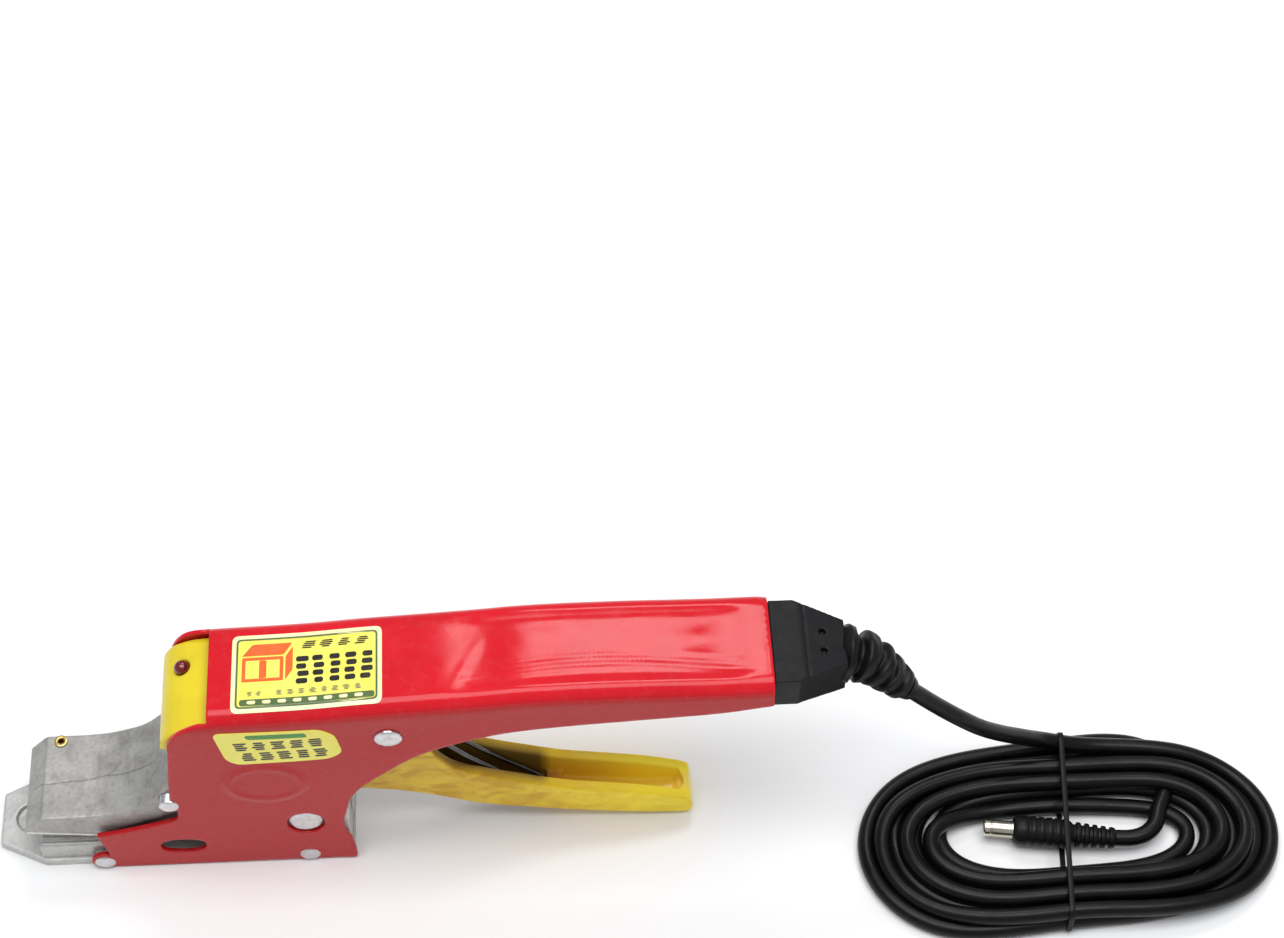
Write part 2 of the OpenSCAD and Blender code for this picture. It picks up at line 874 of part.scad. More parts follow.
module link_pin() {
    color([0.72, 0.72, 0.72])
        bar(arm_pin, link_pin_r, -trigger_w / 2 + 0.1, trigger_w / 2 - 0.1);
}

module pull_link() {
    front = from_face(carrier_pin);
    reach = norm(arm_pin - front);
    lift = atan2(arm_pin[1] - front[1], arm_pin[0] - front[0]);
    play = 0.8;                    // the front hole's extra radius, for lost motion
    color([0.66, 0.66, 0.64])
        across(-2.3, 2.3)
            translate(front)
                rotate(lift)
                    difference() {
                        union() {
                            circle(4.2);
                            translate([0, -3])
                                square([reach, 6]);
                            translate([reach, 0])
                                circle(4);
                        }
                        circle(link_pin_r + play);
                        translate([reach, 0])
                            circle(link_pin_r + fine);
                    }
}

body_shell();
base_plate();
anvil();
anvil_screws();
rear_block();
front_cap();
indicator_lamp();
lamp_board();
top_label();
side_label();
trigger_pin();
block_rivets();
base_rivets();
spring_seat();
terminal_block();
terminal_screws();
power_wires();
lamp_wires();
handle_socket();
cord_connector();
strain_relief();
cord_lead();
cord_hank();
cord_tail();
cord_tie();
plug_body();
plug_barrel();
upper_jaw();
jaw_pin();
jaw_eyelet();
jaw_spring();
heater_blade();
heater_element();
heater_clamp();
clamp_screws();
heat_insulator();
blade_carrier();
carrier_pin();
heater_leads();
trigger();
trigger_bush();
trigger_spring();
link_pin();
pull_link();
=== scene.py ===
"""Looks of the strap heat-sealing pliers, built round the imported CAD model.

Sizes in this script are millimetres in the row frame (origin on the underside of the base
plate, +X towards the handle, -Y towards the side label, +Z up). MM turns them into metres.
"""
import math
from contextlib import contextmanager

import bmesh
import bpy
import numpy as np
from mathutils import Matrix, Vector
from mathutils.geometry import delaunay_2d_cdt


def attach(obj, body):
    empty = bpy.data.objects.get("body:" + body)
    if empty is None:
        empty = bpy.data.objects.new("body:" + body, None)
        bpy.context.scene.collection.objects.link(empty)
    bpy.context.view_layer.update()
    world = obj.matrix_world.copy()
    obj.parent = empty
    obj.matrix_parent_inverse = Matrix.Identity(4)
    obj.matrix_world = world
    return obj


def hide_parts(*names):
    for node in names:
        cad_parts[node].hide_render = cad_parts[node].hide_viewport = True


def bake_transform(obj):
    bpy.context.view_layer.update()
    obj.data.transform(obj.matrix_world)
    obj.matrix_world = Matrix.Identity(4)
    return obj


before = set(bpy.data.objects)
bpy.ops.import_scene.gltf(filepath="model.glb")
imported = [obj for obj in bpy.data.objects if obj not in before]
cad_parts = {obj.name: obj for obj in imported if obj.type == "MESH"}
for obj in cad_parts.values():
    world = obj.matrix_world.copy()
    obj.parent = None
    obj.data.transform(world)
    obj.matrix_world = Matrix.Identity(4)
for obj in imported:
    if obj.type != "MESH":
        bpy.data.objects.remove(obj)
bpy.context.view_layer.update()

MM = 0.001

# pivots and rivets, as (x, z)
TRIGGER_PIVOT = (71.5, 74.5)
JAW_PIVOT = (1.5, 38.5)
BLOCK_RIVET = (42.9, 24)
BASE_RIVETS = ((42.7, 3.8), (-22.8, 3.8))


# ---------- mesh helpers ----------

def link(obj):
    bpy.context.scene.collection.objects.link(obj)
    return obj


def mesh_object(name, points, faces, smooth_angle):
    """A mesh from points in millimetres. Faces that meet at more than smooth_angle stay sharp."""
    mesh = bpy.data.meshes.new(name)
    mesh.from_pydata([tuple(np.asarray(p, float) * MM) for p in points], [], [tuple(f) for f in faces])
    mesh.validate()
    obj = link(bpy.data.objects.new(name, mesh))
    shade(obj, smooth_angle)
    return obj


def shade(obj, smooth_angle):
    obj.data.shade_smooth()
    obj.data.set_sharp_from_angle(angle=math.radians(smooth_angle))


@contextmanager
def edited(mesh):
    """The mesh as a BMesh, written back at the end."""
    bm = bmesh.new()
    bm.from_mesh(mesh)
    yield bm
    bm.to_mesh(mesh)
    bm.free()


def evaluated_mesh(obj):
    """The mesh that the object's curve or modifiers make."""
    bpy.context.view_layer.update()
    return bpy.data.meshes.new_from_object(obj.evaluated_get(bpy.context.evaluated_depsgraph_get()))


def apply_modifiers(obj):
    """Replaces the mesh by what its modifiers make of it."""
    made = evaluated_mesh(obj)
    obj.modifiers.clear()
    obj.data = made


def modifier(obj, kind, **settings):
    m = obj.modifiers.new(kind.lower(), kind)
    for key, value in settings.items():
        setattr(m, key, value)


def bevel(obj, width, angle):
    """Rounds the edges that turn by more than angle degrees."""
    modifier(obj, "BEVEL", width=width * MM, segments=2, limit_method="ANGLE",
             angle_limit=math.radians(angle))


def join(name, objs):
    """One object from several mesh objects, with their materials."""
    merged = bmesh.new()
    slots = []
    for o in objs:
        own = list(o.data.materials) or [None]
        slots += [m for m in own if m not in slots]
        for f in o.data.polygons:
            f.material_index = slots.index(own[min(f.material_index, len(own) - 1)])
        merged.from_mesh(o.data)
        bpy.data.objects.remove(o)
    mesh = bpy.data.meshes.new(name)
    merged.to_mesh(mesh)
    merged.free()
    for m in slots:
        if m is not None:
            mesh.materials.append(m)
    return link(bpy.data.objects.new(name, mesh))


def cad_copy(name, node):
    """A free copy of a CAD node's mesh, with its split vertices welded."""
    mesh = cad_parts[node].data.copy()
    mesh.materials.clear()
    with edited(mesh) as bm:
        bmesh.ops.remove_doubles(bm, verts=bm.verts, dist=1e-6)
    return link(bpy.data.objects.new(name, mesh))


def cut(obj, cutter, operation="DIFFERENCE"):
    """Boolean of obj with cutter, which is used up."""
    modifier(obj, "BOOLEAN", object=cutter, operation=operation, solver="EXACT")
    apply_modifiers(obj)
    bpy.data.objects.remove(cutter)


def moulded(obj, voxel, soften):
    """Turns a sharp solid into a cast or moulded one: even small faces and softly rounded edges."""
    modifier(obj, "REMESH", mode="VOXEL", voxel_size=voxel * MM, use_smooth_shade=True)
    modifier(obj, "SMOOTH", factor=0.5, iterations=soften)
    apply_modifiers(obj)
    obj.data.shade_smooth()
    return obj


def vertex_vectors(mesh, kind):
    values = np.empty(len(mesh.vertices) * 3, np.float32)
    mesh.vertices.foreach_get(kind, values)
    return values.reshape(-1, 3).astype(float)


def skin(obj):
    """The mesh's points, in millimetres, and its normals."""
    return vertex_vectors(obj.data, "co") / MM, vertex_vectors(obj.data, "normal")


def set_coords(mesh, points):
    mesh.vertices.foreach_set("co", (points * MM).astype(np.float32).ravel())
    mesh.update()


LUMP_WAVES = 9


def lumps(points, size, seed):
    """Smooth pseudo-random heights from about -1 to 1 at points, with lumps about that size."""
    rng = np.random.default_rng(seed)
    total = np.zeros(len(points))
    for _ in range(LUMP_WAVES):
        direction = rng.normal(size=3)
        direction /= np.linalg.norm(direction)
        pitch = size * (0.7 + 0.9 * rng.random())
        total += np.sin(points @ direction * (2 * math.pi / pitch) + rng.random() * 6.3)
    return total / (LUMP_WAVES / 2)


def roughen(obj, layers, seed):
    """Moves the surface along its normals by soft lumps: layers of (size, height)."""
    p, n = skin(obj)
    push = sum(height * lumps(p, size, seed + i) for i, (size, height) in enumerate(layers))
    set_coords(obj.data, p + n * push[:, None])


def ring_faces(rows, sides):
    """Faces between rows of points that each go once round."""
    faces = []
    for row in range(0, (rows - 1) * sides, sides):
        for k in range(sides):
            k2 = (k + 1) % sides
            faces.append((row + k, row + k2, row + sides + k2, row + sides + k))
    return faces


def lathe(name, profile, at, axis, sides=48, smooth_angle=35):
    """A turned solid: profile is (radius, distance along axis) points from at."""
    turns = [2 * math.pi * k / sides for k in range(sides)]
    points = [(r * math.cos(a), r * math.sin(a), h) for r, h in profile for a in turns]
    obj = mesh_object(name, points, ring_faces(len(profile), sides), smooth_angle)
    with edited(obj.data) as bm:
        bmesh.ops.remove_doubles(bm, verts=bm.verts, dist=1e-7)
        bmesh.ops.holes_fill(bm, edges=bm.edges, sides=0)
        bmesh.ops.recalc_face_normals(bm, faces=bm.faces)
    turn = Vector(axis).to_track_quat("Z", "Y").to_matrix().to_4x4()
    obj.data.transform(Matrix.Translation(Vector(at) * MM) @ turn)
    shade(obj, smooth_angle)
    return obj


def curve_object(name, points, radius, sides):
    """Round wire or cord along a list of points, in millimetres."""
    curve = bpy.data.curves.new(name, "CURVE")
    curve.dimensions = "3D"
    curve.bevel_depth = radius * MM
    curve.bevel_resolution = sides
    curve.resolution_u = 2
    curve.use_fill_caps = True
    spline = curve.splines.new("NURBS")
    spline.points.add(len(points) - 1)
    for p, q in zip(spline.points, points):
        p.co = (*(np.asarray(q, float) * MM), 1)
    spline.order_u = 4
    spline.use_endpoint_u = True
    return link(bpy.data.objects.new(name, curve))


def as_mesh(obj):
    """A mesh object in place of a curve object."""
    name, mesh = obj.name, evaluated_mesh(obj)
    bpy.data.objects.remove(obj)
    mesh.shade_smooth()
    return link(bpy.data.objects.new(name, mesh))


def smooth_line(points, n):
    """Smooth curve through points, with n steps between neighbours."""
    p = np.asarray(points, float)
    last = len(p) - 1
    out = []
    for i in range(last):
        a, b, c, d = p[max(i - 1, 0)], p[i], p[i + 1], p[min(i + 2, last)]
        for k in range(n):
            t = k / n
            out.append(0.5 * (2 * b + (c - a) * t + (2 * a - 5 * b + 4 * c - d) * t * t
                              + (3 * b - a - 3 * c + d) * t ** 3))
    out.append(p[last])
    return np.array(out)


def even(points, step):
    """The same line with points a step apart."""
    p = np.asarray(points, float)
    along = np.concatenate([[0], np.cumsum(np.linalg.norm(np.diff(p, axis=0), axis=1))])
    at = np.linspace(0, along[-1], max(2, int(round(along[-1] / step)) + 1))
    return np.stack([np.interp(at, along, p[:, k]) for k in range(p.shape[1])], 1)


def even_loop(outline, step):
    """A closed outline with its points about a step apart."""
    p = np.array(outline, float)
    return even(np.vstack([p, p[:1]]), step)[:-1]


def ellipse(centre, rx, rz, steps=28):
    """Points of an ellipse, the first one at +X."""
    x, z = centre
    return [(x + rx * math.cos(a), z + rz * math.sin(a))
            for a in np.linspace(0, 2 * math.pi, steps, endpoint=False)]


def arc(centre, radius, start, end, steps):
    """Points [x, z] of an arc, angles in degrees."""
    return [(centre[0] + radius * math.cos(a), centre[1] + radius * math.sin(a))
            for a in map(math.radians, np.linspace(start, end, steps))]


def ease(x, low, high):
    """0 below low, 1 above high, smooth between."""
    t = np.clip((np.asarray(x, float) - low) / (high - low), 0, 1)
    return t * t * (3 - 2 * t)


def bell(distance, width):
    """1 at no distance, falling off smoothly to both sides."""
    return np.exp(-(distance / width) ** 2)


def squared(value, power):
    """A sine or cosine for a circle that is squarer."""
    return math.copysign(abs(value) ** power, value)


def inside(points, outline):
    """Which 2D points lie inside a closed outline."""
    x, y = points[:, 0][:, None], points[:, 1][:, None]
    a = np.asarray(outline, float)
    b = np.roll(a, -1, axis=0)
    crosses = (a[:, 1] > y) != (b[:, 1] > y)
    slope = (b[:, 0] - a[:, 0]) / np.where(b[:, 1] == a[:, 1], 1e-12, b[:, 1] - a[:, 1])
    return (crosses & (x < a[:, 0] + (y - a[:, 1]) * slope)).sum(1) % 2 == 1


def near_outline(points, outline, gap):
    """Which 2D points lie within gap of a closed outline."""
    a = np.asarray(outline, float)
    d = np.roll(a, -1, axis=0) - a
    rel = points[:, None, :] - a[None]
    t = np.clip((rel * d).sum(2) / np.maximum((d * d).sum(1), 1e-12), 0, 1)
    return np.linalg.norm(rel - t[..., None] * d, axis=2).min(1) < gap


EDGE_GAP = 0.4


def flat_mesh(outline, holes, grid):
    """Triangles that fill an outline but not its holes, with the grid's points that lie inside and at
    least EDGE_GAP off every edge."""
    keep = inside(grid, outline) & ~near_outline(grid, outline, EDGE_GAP)
    for hole in holes:
        keep &= ~inside(grid, hole) & ~near_outline(grid, hole, EDGE_GAP)
    verts = [Vector(p) for p in grid[keep]]
    edges = []
    for loop in [outline, *holes]:
        first = len(verts)
        verts += [Vector(p) for p in loop]
        edges += [(first + i, first + (i + 1) % len(loop)) for i in range(len(loop))]
    made = delaunay_2d_cdt(verts, edges, [], 0, 1e-5)
    points = np.array([tuple(v) for v in made[0]])
    faces = np.array([f for f in made[2] if len(f) == 3])
    middle = points[faces].mean(1)
    good = inside(middle, outline)
    for hole in holes:
        good &= ~inside(middle, hole)
    faces = faces[good]
    used = np.unique(faces)
    index = np.full(len(points), -1)
    index[used] = np.arange(len(used))
    return points[used], index[faces]


def face_out(mesh, outward):
    """Turns an open sheet's faces to the side that outward points to."""
    with edited(mesh) as bm:
        bmesh.ops.recalc_face_normals(bm, faces=bm.faces)
        if sum((f.normal for f in bm.faces), Vector()).dot(outward) < 0:
            bmesh.ops.reverse_faces(bm, faces=bm.faces)


# ---------- materials ----------

class Finish:
    """Builds one procedural material."""

    def __init__(self, name):
        self.material = bpy.data.materials.new(name)
        self.material.use_nodes = True
        self.tree = self.material.node_tree
        self.tree.nodes.clear()
        self.shader = self.node("ShaderNodeBsdfPrincipled")
        output = self.node("ShaderNodeOutputMaterial")
        self.join(self.shader.outputs["BSDF"], output.inputs["Surface"])
        self.where = self.node("ShaderNodeTexCoord").outputs["Object"]
        self.height = None

    def node(self, kind, **settings):
        n = self.tree.nodes.new(kind)
        for key, value in settings.items():
            setattr(n, key, value)
        return n

    def join(self, a, b):
        self.tree.links.new(a, b)

    def give(self, value, socket):
        """Links another socket's value, or sets a plain one."""
        if isinstance(value, bpy.types.NodeSocket):
            self.join(value, socket)
        else:
            socket.default_value = (*value, 1) if socket.type == "RGBA" else value

    def noise(self, size, detail, rough=0.55, stretch=(1, 1, 1), warp=0):
        """Noise from 0 to 1 with features about size millimetres across."""
        place = self.node("ShaderNodeMapping")
        place.inputs["Scale"].default_value = [1 / s for s in stretch]
        self.join(self.where, place.inputs["Vector"])
        n = self.node("ShaderNodeTexNoise")
        for key, value in (("Scale", 1 / (size * MM)), ("Detail", detail), ("Roughness", rough),
                           ("Distortion", warp)):
            n.inputs[key].default_value = value
        self.join(place.outputs["Vector"], n.inputs["Vector"])
        return n.outputs["Fac"]

    def ramp(self, value, stops):
        """Greys along value: stops are (place, grey)."""
        n = self.node("ShaderNodeValToRGB")
        while len(n.color_ramp.elements) < len(stops):
            n.color_ramp.elements.new(0.5)
        for e, (place, grey) in zip(n.color_ramp.elements, stops):
            e.position = place
            e.color = (grey, grey, grey, 1)
        self.join(value, n.inputs["Fac"])
        return n.outputs["Color"]

    def rise(self, value, low, high, start=0.0, end=1.0):
        """start where value is below low, end where it is above high."""
        return self.ramp(value, [(low, start), (high, end)])

    def gloss(self, noise, rough, high=0.75):
        """Roughness that wanders between two values along a noise."""
        self.put("Roughness", self.rise(noise, 0.3, high, *rough))

    def times(self, a, *factors):
        """Product of several values."""
        for b in factors:
            a = self.math("MULTIPLY", a, b)
        return a

    def mix(self, share, a, b):
        """Colour a where share is 0 and b where it is 1."""
        n = self.node("ShaderNodeMix", data_type="RGBA")
        for value, k in ((share, 0), (a, 6), (b, 7)):
            self.give(value, n.inputs[k])
        return n.outputs[2]

    def math(self, operation, a, b=0.0):
        n = self.node("ShaderNodeMath", operation=operation)
        self.give(a, n.inputs[0])
        self.give(b, n.inputs[1])
        return n.outputs[0]

    def edges(self, low=0.52, high=0.6):
        """1 on worn outer edges, 0 elsewhere."""
        return self.rise(self.node("ShaderNodeNewGeometry").outputs["Pointiness"], low, high)

    def axis(self, name):
        """One coordinate of the row frame, in metres."""
        n = self.node("ShaderNodeSeparateXYZ")
        self.join(self.where, n.inputs["Vector"])
        return n.outputs[name]

    def bump(self, height, depth, strength):
        """Adds a bump whose height from 0 to 1 stands depth millimetres."""
        n = self.node("ShaderNodeBump")
        n.inputs["Distance"].default_value = depth * MM
        n.inputs["Strength"].default_value = strength
        self.join(height, n.inputs["Height"])
        if self.height is not None:
            self.join(self.height, n.inputs["Normal"])
        self.height = n.outputs["Normal"]
        self.join(self.height, self.shader.inputs["Normal"])

    def colour(self, value):
        self.put("Base Color", value)

    def put(self, name, value):
        self.give(value, self.shader.inputs[name])

    def done(self, **values):
        for name, value in values.items():
            self.put(name.replace("_", " "), value)
        return self.material


def paint(name, base, shaded_side_red, dust, rough):
    """Gloss paint on folded sheet: slight orange peel, dust film and worn edges. The upright side
    plates and everything below the fold get a darker red: painted shade, on the same paint as the top."""
    f = Finish(name)
    deep = tuple(c * 0.86 for c in base)
    colour = f.mix(f.rise(f.noise(38, 3, warp=0.4), 0.35, 0.7), base, deep)
    # upright faces and everything below the fold: the darker red there is painted shade
    facing = f.node("ShaderNodeSeparateXYZ")
    f.join(f.node("ShaderNodeTexCoord").outputs["Normal"], facing.inputs["Vector"])
    upright = f.rise(f.math("ABSOLUTE", facing.outputs["Y"]), 0.80, 0.97)
    below = f.rise(f.axis("Z"), 0.076, 0.079, 1.0, 0.0)
    colour = f.mix(f.math("MAXIMUM", upright, below), colour, shaded_side_red)
    colour = f.mix(f.times(f.rise(f.noise(2.6, 4), 0.52, 0.78), 0.22), colour, dust)
    specks = f.rise(f.noise(0.9, 1), 0.74, 0.79)
    colour = f.mix(f.times(specks, 0.35), colour, (0.16, 0.01, 0.01))
    chips = f.times(f.edges(0.56, 0.66), f.rise(f.noise(1.6, 3), 0.56, 0.62))
    colour = f.mix(chips, colour, (0.42, 0.30, 0.28))
    f.colour(colour)
    f.gloss(f.noise(7, 4), rough)
    f.bump(f.noise(9, 2), 0.10, 0.5)
    f.bump(f.noise(1.1, 2), 0.010, 0.6)
    return f.done(Specular_IOR_Level=0.3)


def plastic(name, base, deep, rough, grain=0.02, dirt=0.25, shine=0.5):
    """Moulded plastic: faint flow marks, scuffs, and grime in places."""
    f = Finish(name)
    colour = f.mix(f.rise(f.noise(16, 3, warp=0.6), 0.35, 0.72), base, deep)
    grime = f.times(f.rise(f.noise(3.2, 5, 0.7), 0.55, 0.8), dirt)
    colour = f.mix(grime, colour, tuple(c * 0.45 for c in deep))
    f.colour(colour)
    f.gloss(f.noise(5, 4), rough)
    f.bump(f.noise(0.6, 2), grain, 0.7)
    f.bump(f.noise(12, 2), 0.12, 0.35)
    return f.done(Specular_IOR_Level=shine)


def metal(name, base, deep, rough, grain, metallic, stain, bright_edges=0.5, stretch=(1, 1, 1), seam=False):
    """Bare or plated metal: mottling, stains, grain and brighter rubbed edges."""
    f = Finish(name)
    colour = f.mix(f.rise(f.noise(7, 4, 0.65, warp=0.5), 0.32, 0.7), base, deep)
    spots = f.times(f.rise(f.noise(1.3, 4, 0.7), 0.5, 0.75), stain)
    colour = f.mix(spots, colour, tuple(c * 0.4 for c in deep))
    rubbed = f.times(f.edges(), bright_edges)
    colour = f.mix(rubbed, colour, tuple(min(1, c * 1.35) for c in base))
    if seam:
        line = f.node("ShaderNodeAttribute", attribute_name="seam")
        colour = f.mix(f.times(line.outputs["Fac"], 0.65), colour, tuple(c * 0.3 for c in deep))
    f.colour(colour)
    f.gloss(f.noise(2.5, 4, stretch=stretch), rough, 0.72)
    f.bump(f.noise(grain[0], 3, stretch=stretch), grain[1], 0.8)
    return f.done(Metallic=metallic)


# name, base and deep colour, range of roughness, then grain, dirt and shine
PLASTICS = {
    "yellow": ("yellow_moulding", (0.77, 0.62, 0.020), (0.71, 0.55, 0.018), (0.16, 0.3), 0.006, 0.08),
    "black": ("black_moulding", (0.010, 0.010, 0.011), (0.006, 0.006, 0.007), (0.38, 0.52), 0.02, 0.2,
              0.15),
    "rubber": ("black_rubber", (0.004, 0.004, 0.0045), (0.003, 0.003, 0.003), (0.36, 0.5), 0.012, 0.2,
               0.22),
    "cream": ("cream_moulding", (0.62, 0.58, 0.46), (0.55, 0.50, 0.38), (0.4, 0.55)),
    "board": ("board_green", (0.03, 0.16, 0.05), (0.02, 0.12, 0.04), (0.3, 0.5)),
    "wire_red": ("wire_red", (0.35, 0.01, 0.01), (0.28, 0.01, 0.01), (0.3, 0.45)),
    "wire_black": ("wire_black", (0.012, 0.012, 0.012), (0.008, 0.008, 0.008), (0.3, 0.45)),
    "ceramic": ("ceramic", (0.72, 0.69, 0.60), (0.62, 0.58, 0.48), (0.55, 0.7), 0.03),
    "mica": ("mica_board", (0.42, 0.34, 0.18), (0.34, 0.27, 0.14), (0.35, 0.55), 0.04)}
# name, base and deep colour, range of roughness, grain (size, depth), metallic, stain, and then
# bright_edges, stretch and seam
METALS = {
    "zinc": ("zinc_casting", (0.46, 0.45, 0.43), (0.29, 0.28, 0.26), (0.42, 0.6), (0.45, 0.05), 0.45, 0.4,
             0.5, (1, 1, 1), True),
    "base": ("base_casting", (0.60, 0.60, 0.58), (0.45, 0.45, 0.43), (0.4, 0.56), (0.5, 0.04), 0.5, 0.35,
             0.5, (3, 1, 1)),
    "tool": ("tool_steel", (0.48, 0.48, 0.46), (0.33, 0.33, 0.31), (0.28, 0.45), (0.4, 0.02), 0.95, 0.3,
             0.6, (1, 6, 1)),
    "rivet": ("rivet_steel", (0.72, 0.72, 0.72), (0.52, 0.52, 0.53), (0.2, 0.42), (0.7, 0.03), 1.0, 0.3,
              0.3),
    "dark": ("dark_steel", (0.10, 0.10, 0.105), (0.05, 0.05, 0.055), (0.3, 0.5), (0.6, 0.02), 0.9, 0.2),
    "blade": ("blade_steel", (0.66, 0.65, 0.62), (0.45, 0.42, 0.37), (0.18, 0.36), (0.5, 0.015), 1.0, 0.35,
              0.4, (1, 5, 1)),
    "brass": ("brass", (0.66, 0.47, 0.17), (0.45, 0.30, 0.10), (0.22, 0.4), (0.5, 0.015), 1.0, 0.35),
    "nickel": ("nickel", (0.70, 0.66, 0.55), (0.50, 0.46, 0.36), (0.14, 0.26), (0.4, 0.006), 1.0, 0.15),
    "spring": ("spring_steel", (0.16, 0.15, 0.145), (0.06, 0.055, 0.05), (0.22, 0.4), (0.5, 0.01), 0.95,
               0.2)}
# name, base and deep colour, share of rubbed spots
FILMS = {
    "label": ("label_film", (0.92, 0.85, 0.15), (0.90, 0.80, 0.10)),
    "label_edge": ("label_margin", (0.90, 0.87, 0.52), (0.88, 0.83, 0.42)),
    "ink": ("label_ink", (0.014, 0.012, 0.010), (0.022, 0.018, 0.012), 0.06),
    "ink_green": ("label_green", (0.05, 0.27, 0.04), (0.04, 0.22, 0.03)),
    "ink_border": ("label_border", (0.10, 0.16, 0.05), (0.08, 0.13, 0.04)),
    "ink_orange": ("label_orange", (0.80, 0.14, 0.02), (0.72, 0.12, 0.02)),
    "ink_grey": ("label_grey", (0.20, 0.18, 0.10), (0.16, 0.15, 0.09), 0.1)}


def lever_plastic():
    """Yellow lever: glossy rims; painted shade as darker ochre on the outer side, with rubbed patches,
    and in the channel, with a painted reflection of the red body; dark red-brown on the spring stop.
    """
    f = Finish("yellow_lever")
    x, z = f.axis("X"), f.axis("Z")
    off_middle = f.math("ABSOLUTE", f.axis("Y"))
    patches = f.rise(f.noise(5.5, 5, 0.7, (2.2, 1, 1), 0.8), 0.40, 0.60)
    outer = f.rise(off_middle, 0.0069, 0.00715)
    front = f.rise(x, 0.085, 0.150, 1.0, 0.35)
    channel = f.rise(off_middle, 0.00385, 0.0041, 1.0, 0.0)
    channel_floor = f.rise(off_middle, 0.0031, 0.0037, 1.0, 0.0)
    # the part of the channel under the handle, which gets painted shade
    under_handle_shade = f.rise(x, 0.1185, 0.1192, 1.0, 0.0)
    stop = f.times(f.ramp(x, [(0.1188, 0.0), (0.1193, 1.0), (0.1243, 1.0), (0.1248, 0.0)]),
                   f.rise(z, 0.0146, 0.0150, 1.0, 0.0))
    pale = f.rise(x, 0.128, 0.150)
    # outer side faces, most at the front, get a darker ochre: painted shade; the patches on it are rubbed
    # wear
    colour = f.mix(f.times(outer, front, 0.7), (1.0, 0.83, 0.03), (0.80, 0.46, 0.010))
    for share, tint in (
            (f.times(patches, outer, front), (0.58, 0.29, 0.008)),
            # channel walls and floor: orange-brown painted shade with a painted reflection of the red body,
            # paler towards the open end
            (f.times(channel, 0.6), f.mix(pale, (0.66, 0.30, 0.045), (1.0, 0.72, 0.06))),
            (f.times(channel_floor, 0.75), f.mix(pale, (0.72, 0.35, 0.12), (1.0, 0.74, 0.14))),
            # near black where the channel runs in under the handle: painted shade
            (f.times(channel, under_handle_shade), (0.075, 0.032, 0.022)),
            (f.times(channel, stop), (0.26, 0.05, 0.032))):
        colour = f.mix(share, colour, tint)
    f.colour(colour)
    f.put("Roughness", f.mix(f.times(patches, outer), (0.2, 0.2, 0.2), (0.5, 0.5, 0.5)))
    f.bump(f.times(f.noise(1.6, 4, 0.65, (2, 1, 1)), outer), 0.35, 0.5)
    f.bump(f.noise(0.7, 2), 0.008, 0.6)
    return f.done(Specular_IOR_Level=0.3)


def mottled(name, base, deep, mottle, gloss, bumps, **values):
    """A material mottled between two colours. mottle is (noise, low, high), gloss is (noise, range, high),
    and each bump is (noise, depth, strength)."""
    f = Finish(name)
    f.colour(f.mix(f.rise(f.noise(*mottle[0]), *mottle[1:]), base, deep))
    f.gloss(f.noise(*gloss[0]), *gloss[1:])
    for noise, depth, strength in bumps:
        f.bump(f.noise(*noise), depth, strength)
    return f.done(**values)


def cord_jacket():
    """Black PVC jacket: satin, with faint scuffs along the cord."""
    return mottled("cord_jacket", (0.0020, 0.0020, 0.0023), (0.0045, 0.0045, 0.005), ((9, 4), 0.4, 0.7),
                   ((4, 4, 0.6), (0.27, 0.42)), [((3.5, 3), 0.05, 0.4), ((0.5, 2), 0.006, 0.5)],
                   Specular_IOR_Level=0.22)


def lamp_glass():
    """Dark red lamp lens, paler in places under the surface."""
    return mottled("lamp_lens", (0.22, 0.004, 0.006), (0.10, 0.002, 0.004), ((1.2, 2), 0.35, 0.7),
                   ((1.5, 3), (0.08, 0.2), 0.8), [((0.8, 2), 0.01, 0.4)], Coat_Weight=0.5,
                   Coat_Roughness=0.04, Transmission_Weight=0.15)


def film(name, base, deep, worn=0.25):
    """Printed label film: slight unevenness, rubbed gloss."""
    f = Finish(name)
    colour = f.mix(f.rise(f.noise(11, 4, warp=0.5), 0.35, 0.7), base, deep)
    rubbed = f.times(f.rise(f.noise(1.1, 4, 0.7), 0.60, 0.72), worn)
    f.colour(f.mix(rubbed, colour, (0.75, 0.70, 0.45)))
    f.gloss(f.noise(3, 4), (0.18, 0.34))
    f.bump(f.noise(6, 2), 0.05, 0.4)
    return f.done()


def woven_sleeve():
    """Woven glass sleeve of the heater's leads."""
    return mottled("glass_sleeve", (0.62, 0.57, 0.44), (0.42, 0.38, 0.28), ((0.5, 3), 0.4, 0.6),
                   ((1, 3), (0.6, 0.8)), [((0.25, 2), 0.05, 0.8)])


MATERIALS = {key: make(*values) for make, table in ((plastic, PLASTICS), (metal, METALS), (film, FILMS))
             for key, values in table.items()}
# the second colour is the side plates' darker red: painted shade
MATERIALS["red"] = paint("red_gloss_paint", (0.66, 0.008, 0.018), (0.45, 0.006, 0.008), (0.52, 0.08, 0.08),
                         (0.11, 0.22))
MATERIALS["lever"] = lever_plastic()
MATERIALS["cord"] = cord_jacket()
MATERIALS["lamp"] = lamp_glass()
MATERIALS["sleeve"] = woven_sleeve()


def dress(obj, material):
    obj.data.materials.clear()
    obj.data.materials.append(MATERIALS[material])


def finish_piece(obj, material, body, *nodes):
    """Gives a new piece its material and body, and hides the CAD nodes that it replaces. A piece
    with several materials keeps its own."""
    if material is not None:
        dress(obj, material)
    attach(obj, body)
    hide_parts(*nodes)
    return obj


# ---------- camera, light and floor ----------

# the photo's view, solved from the tool's box shape
CAMERA_AT = Vector((110.25, -441.29, 789.39)) * MM
CAMERA_AIM = Vector((158.38, 133.29, 0)) * MM
CAMERA_ROLL = math.radians(1.857)
CAMERA_LENS = 76.6
FLOOR_REACH = 6000


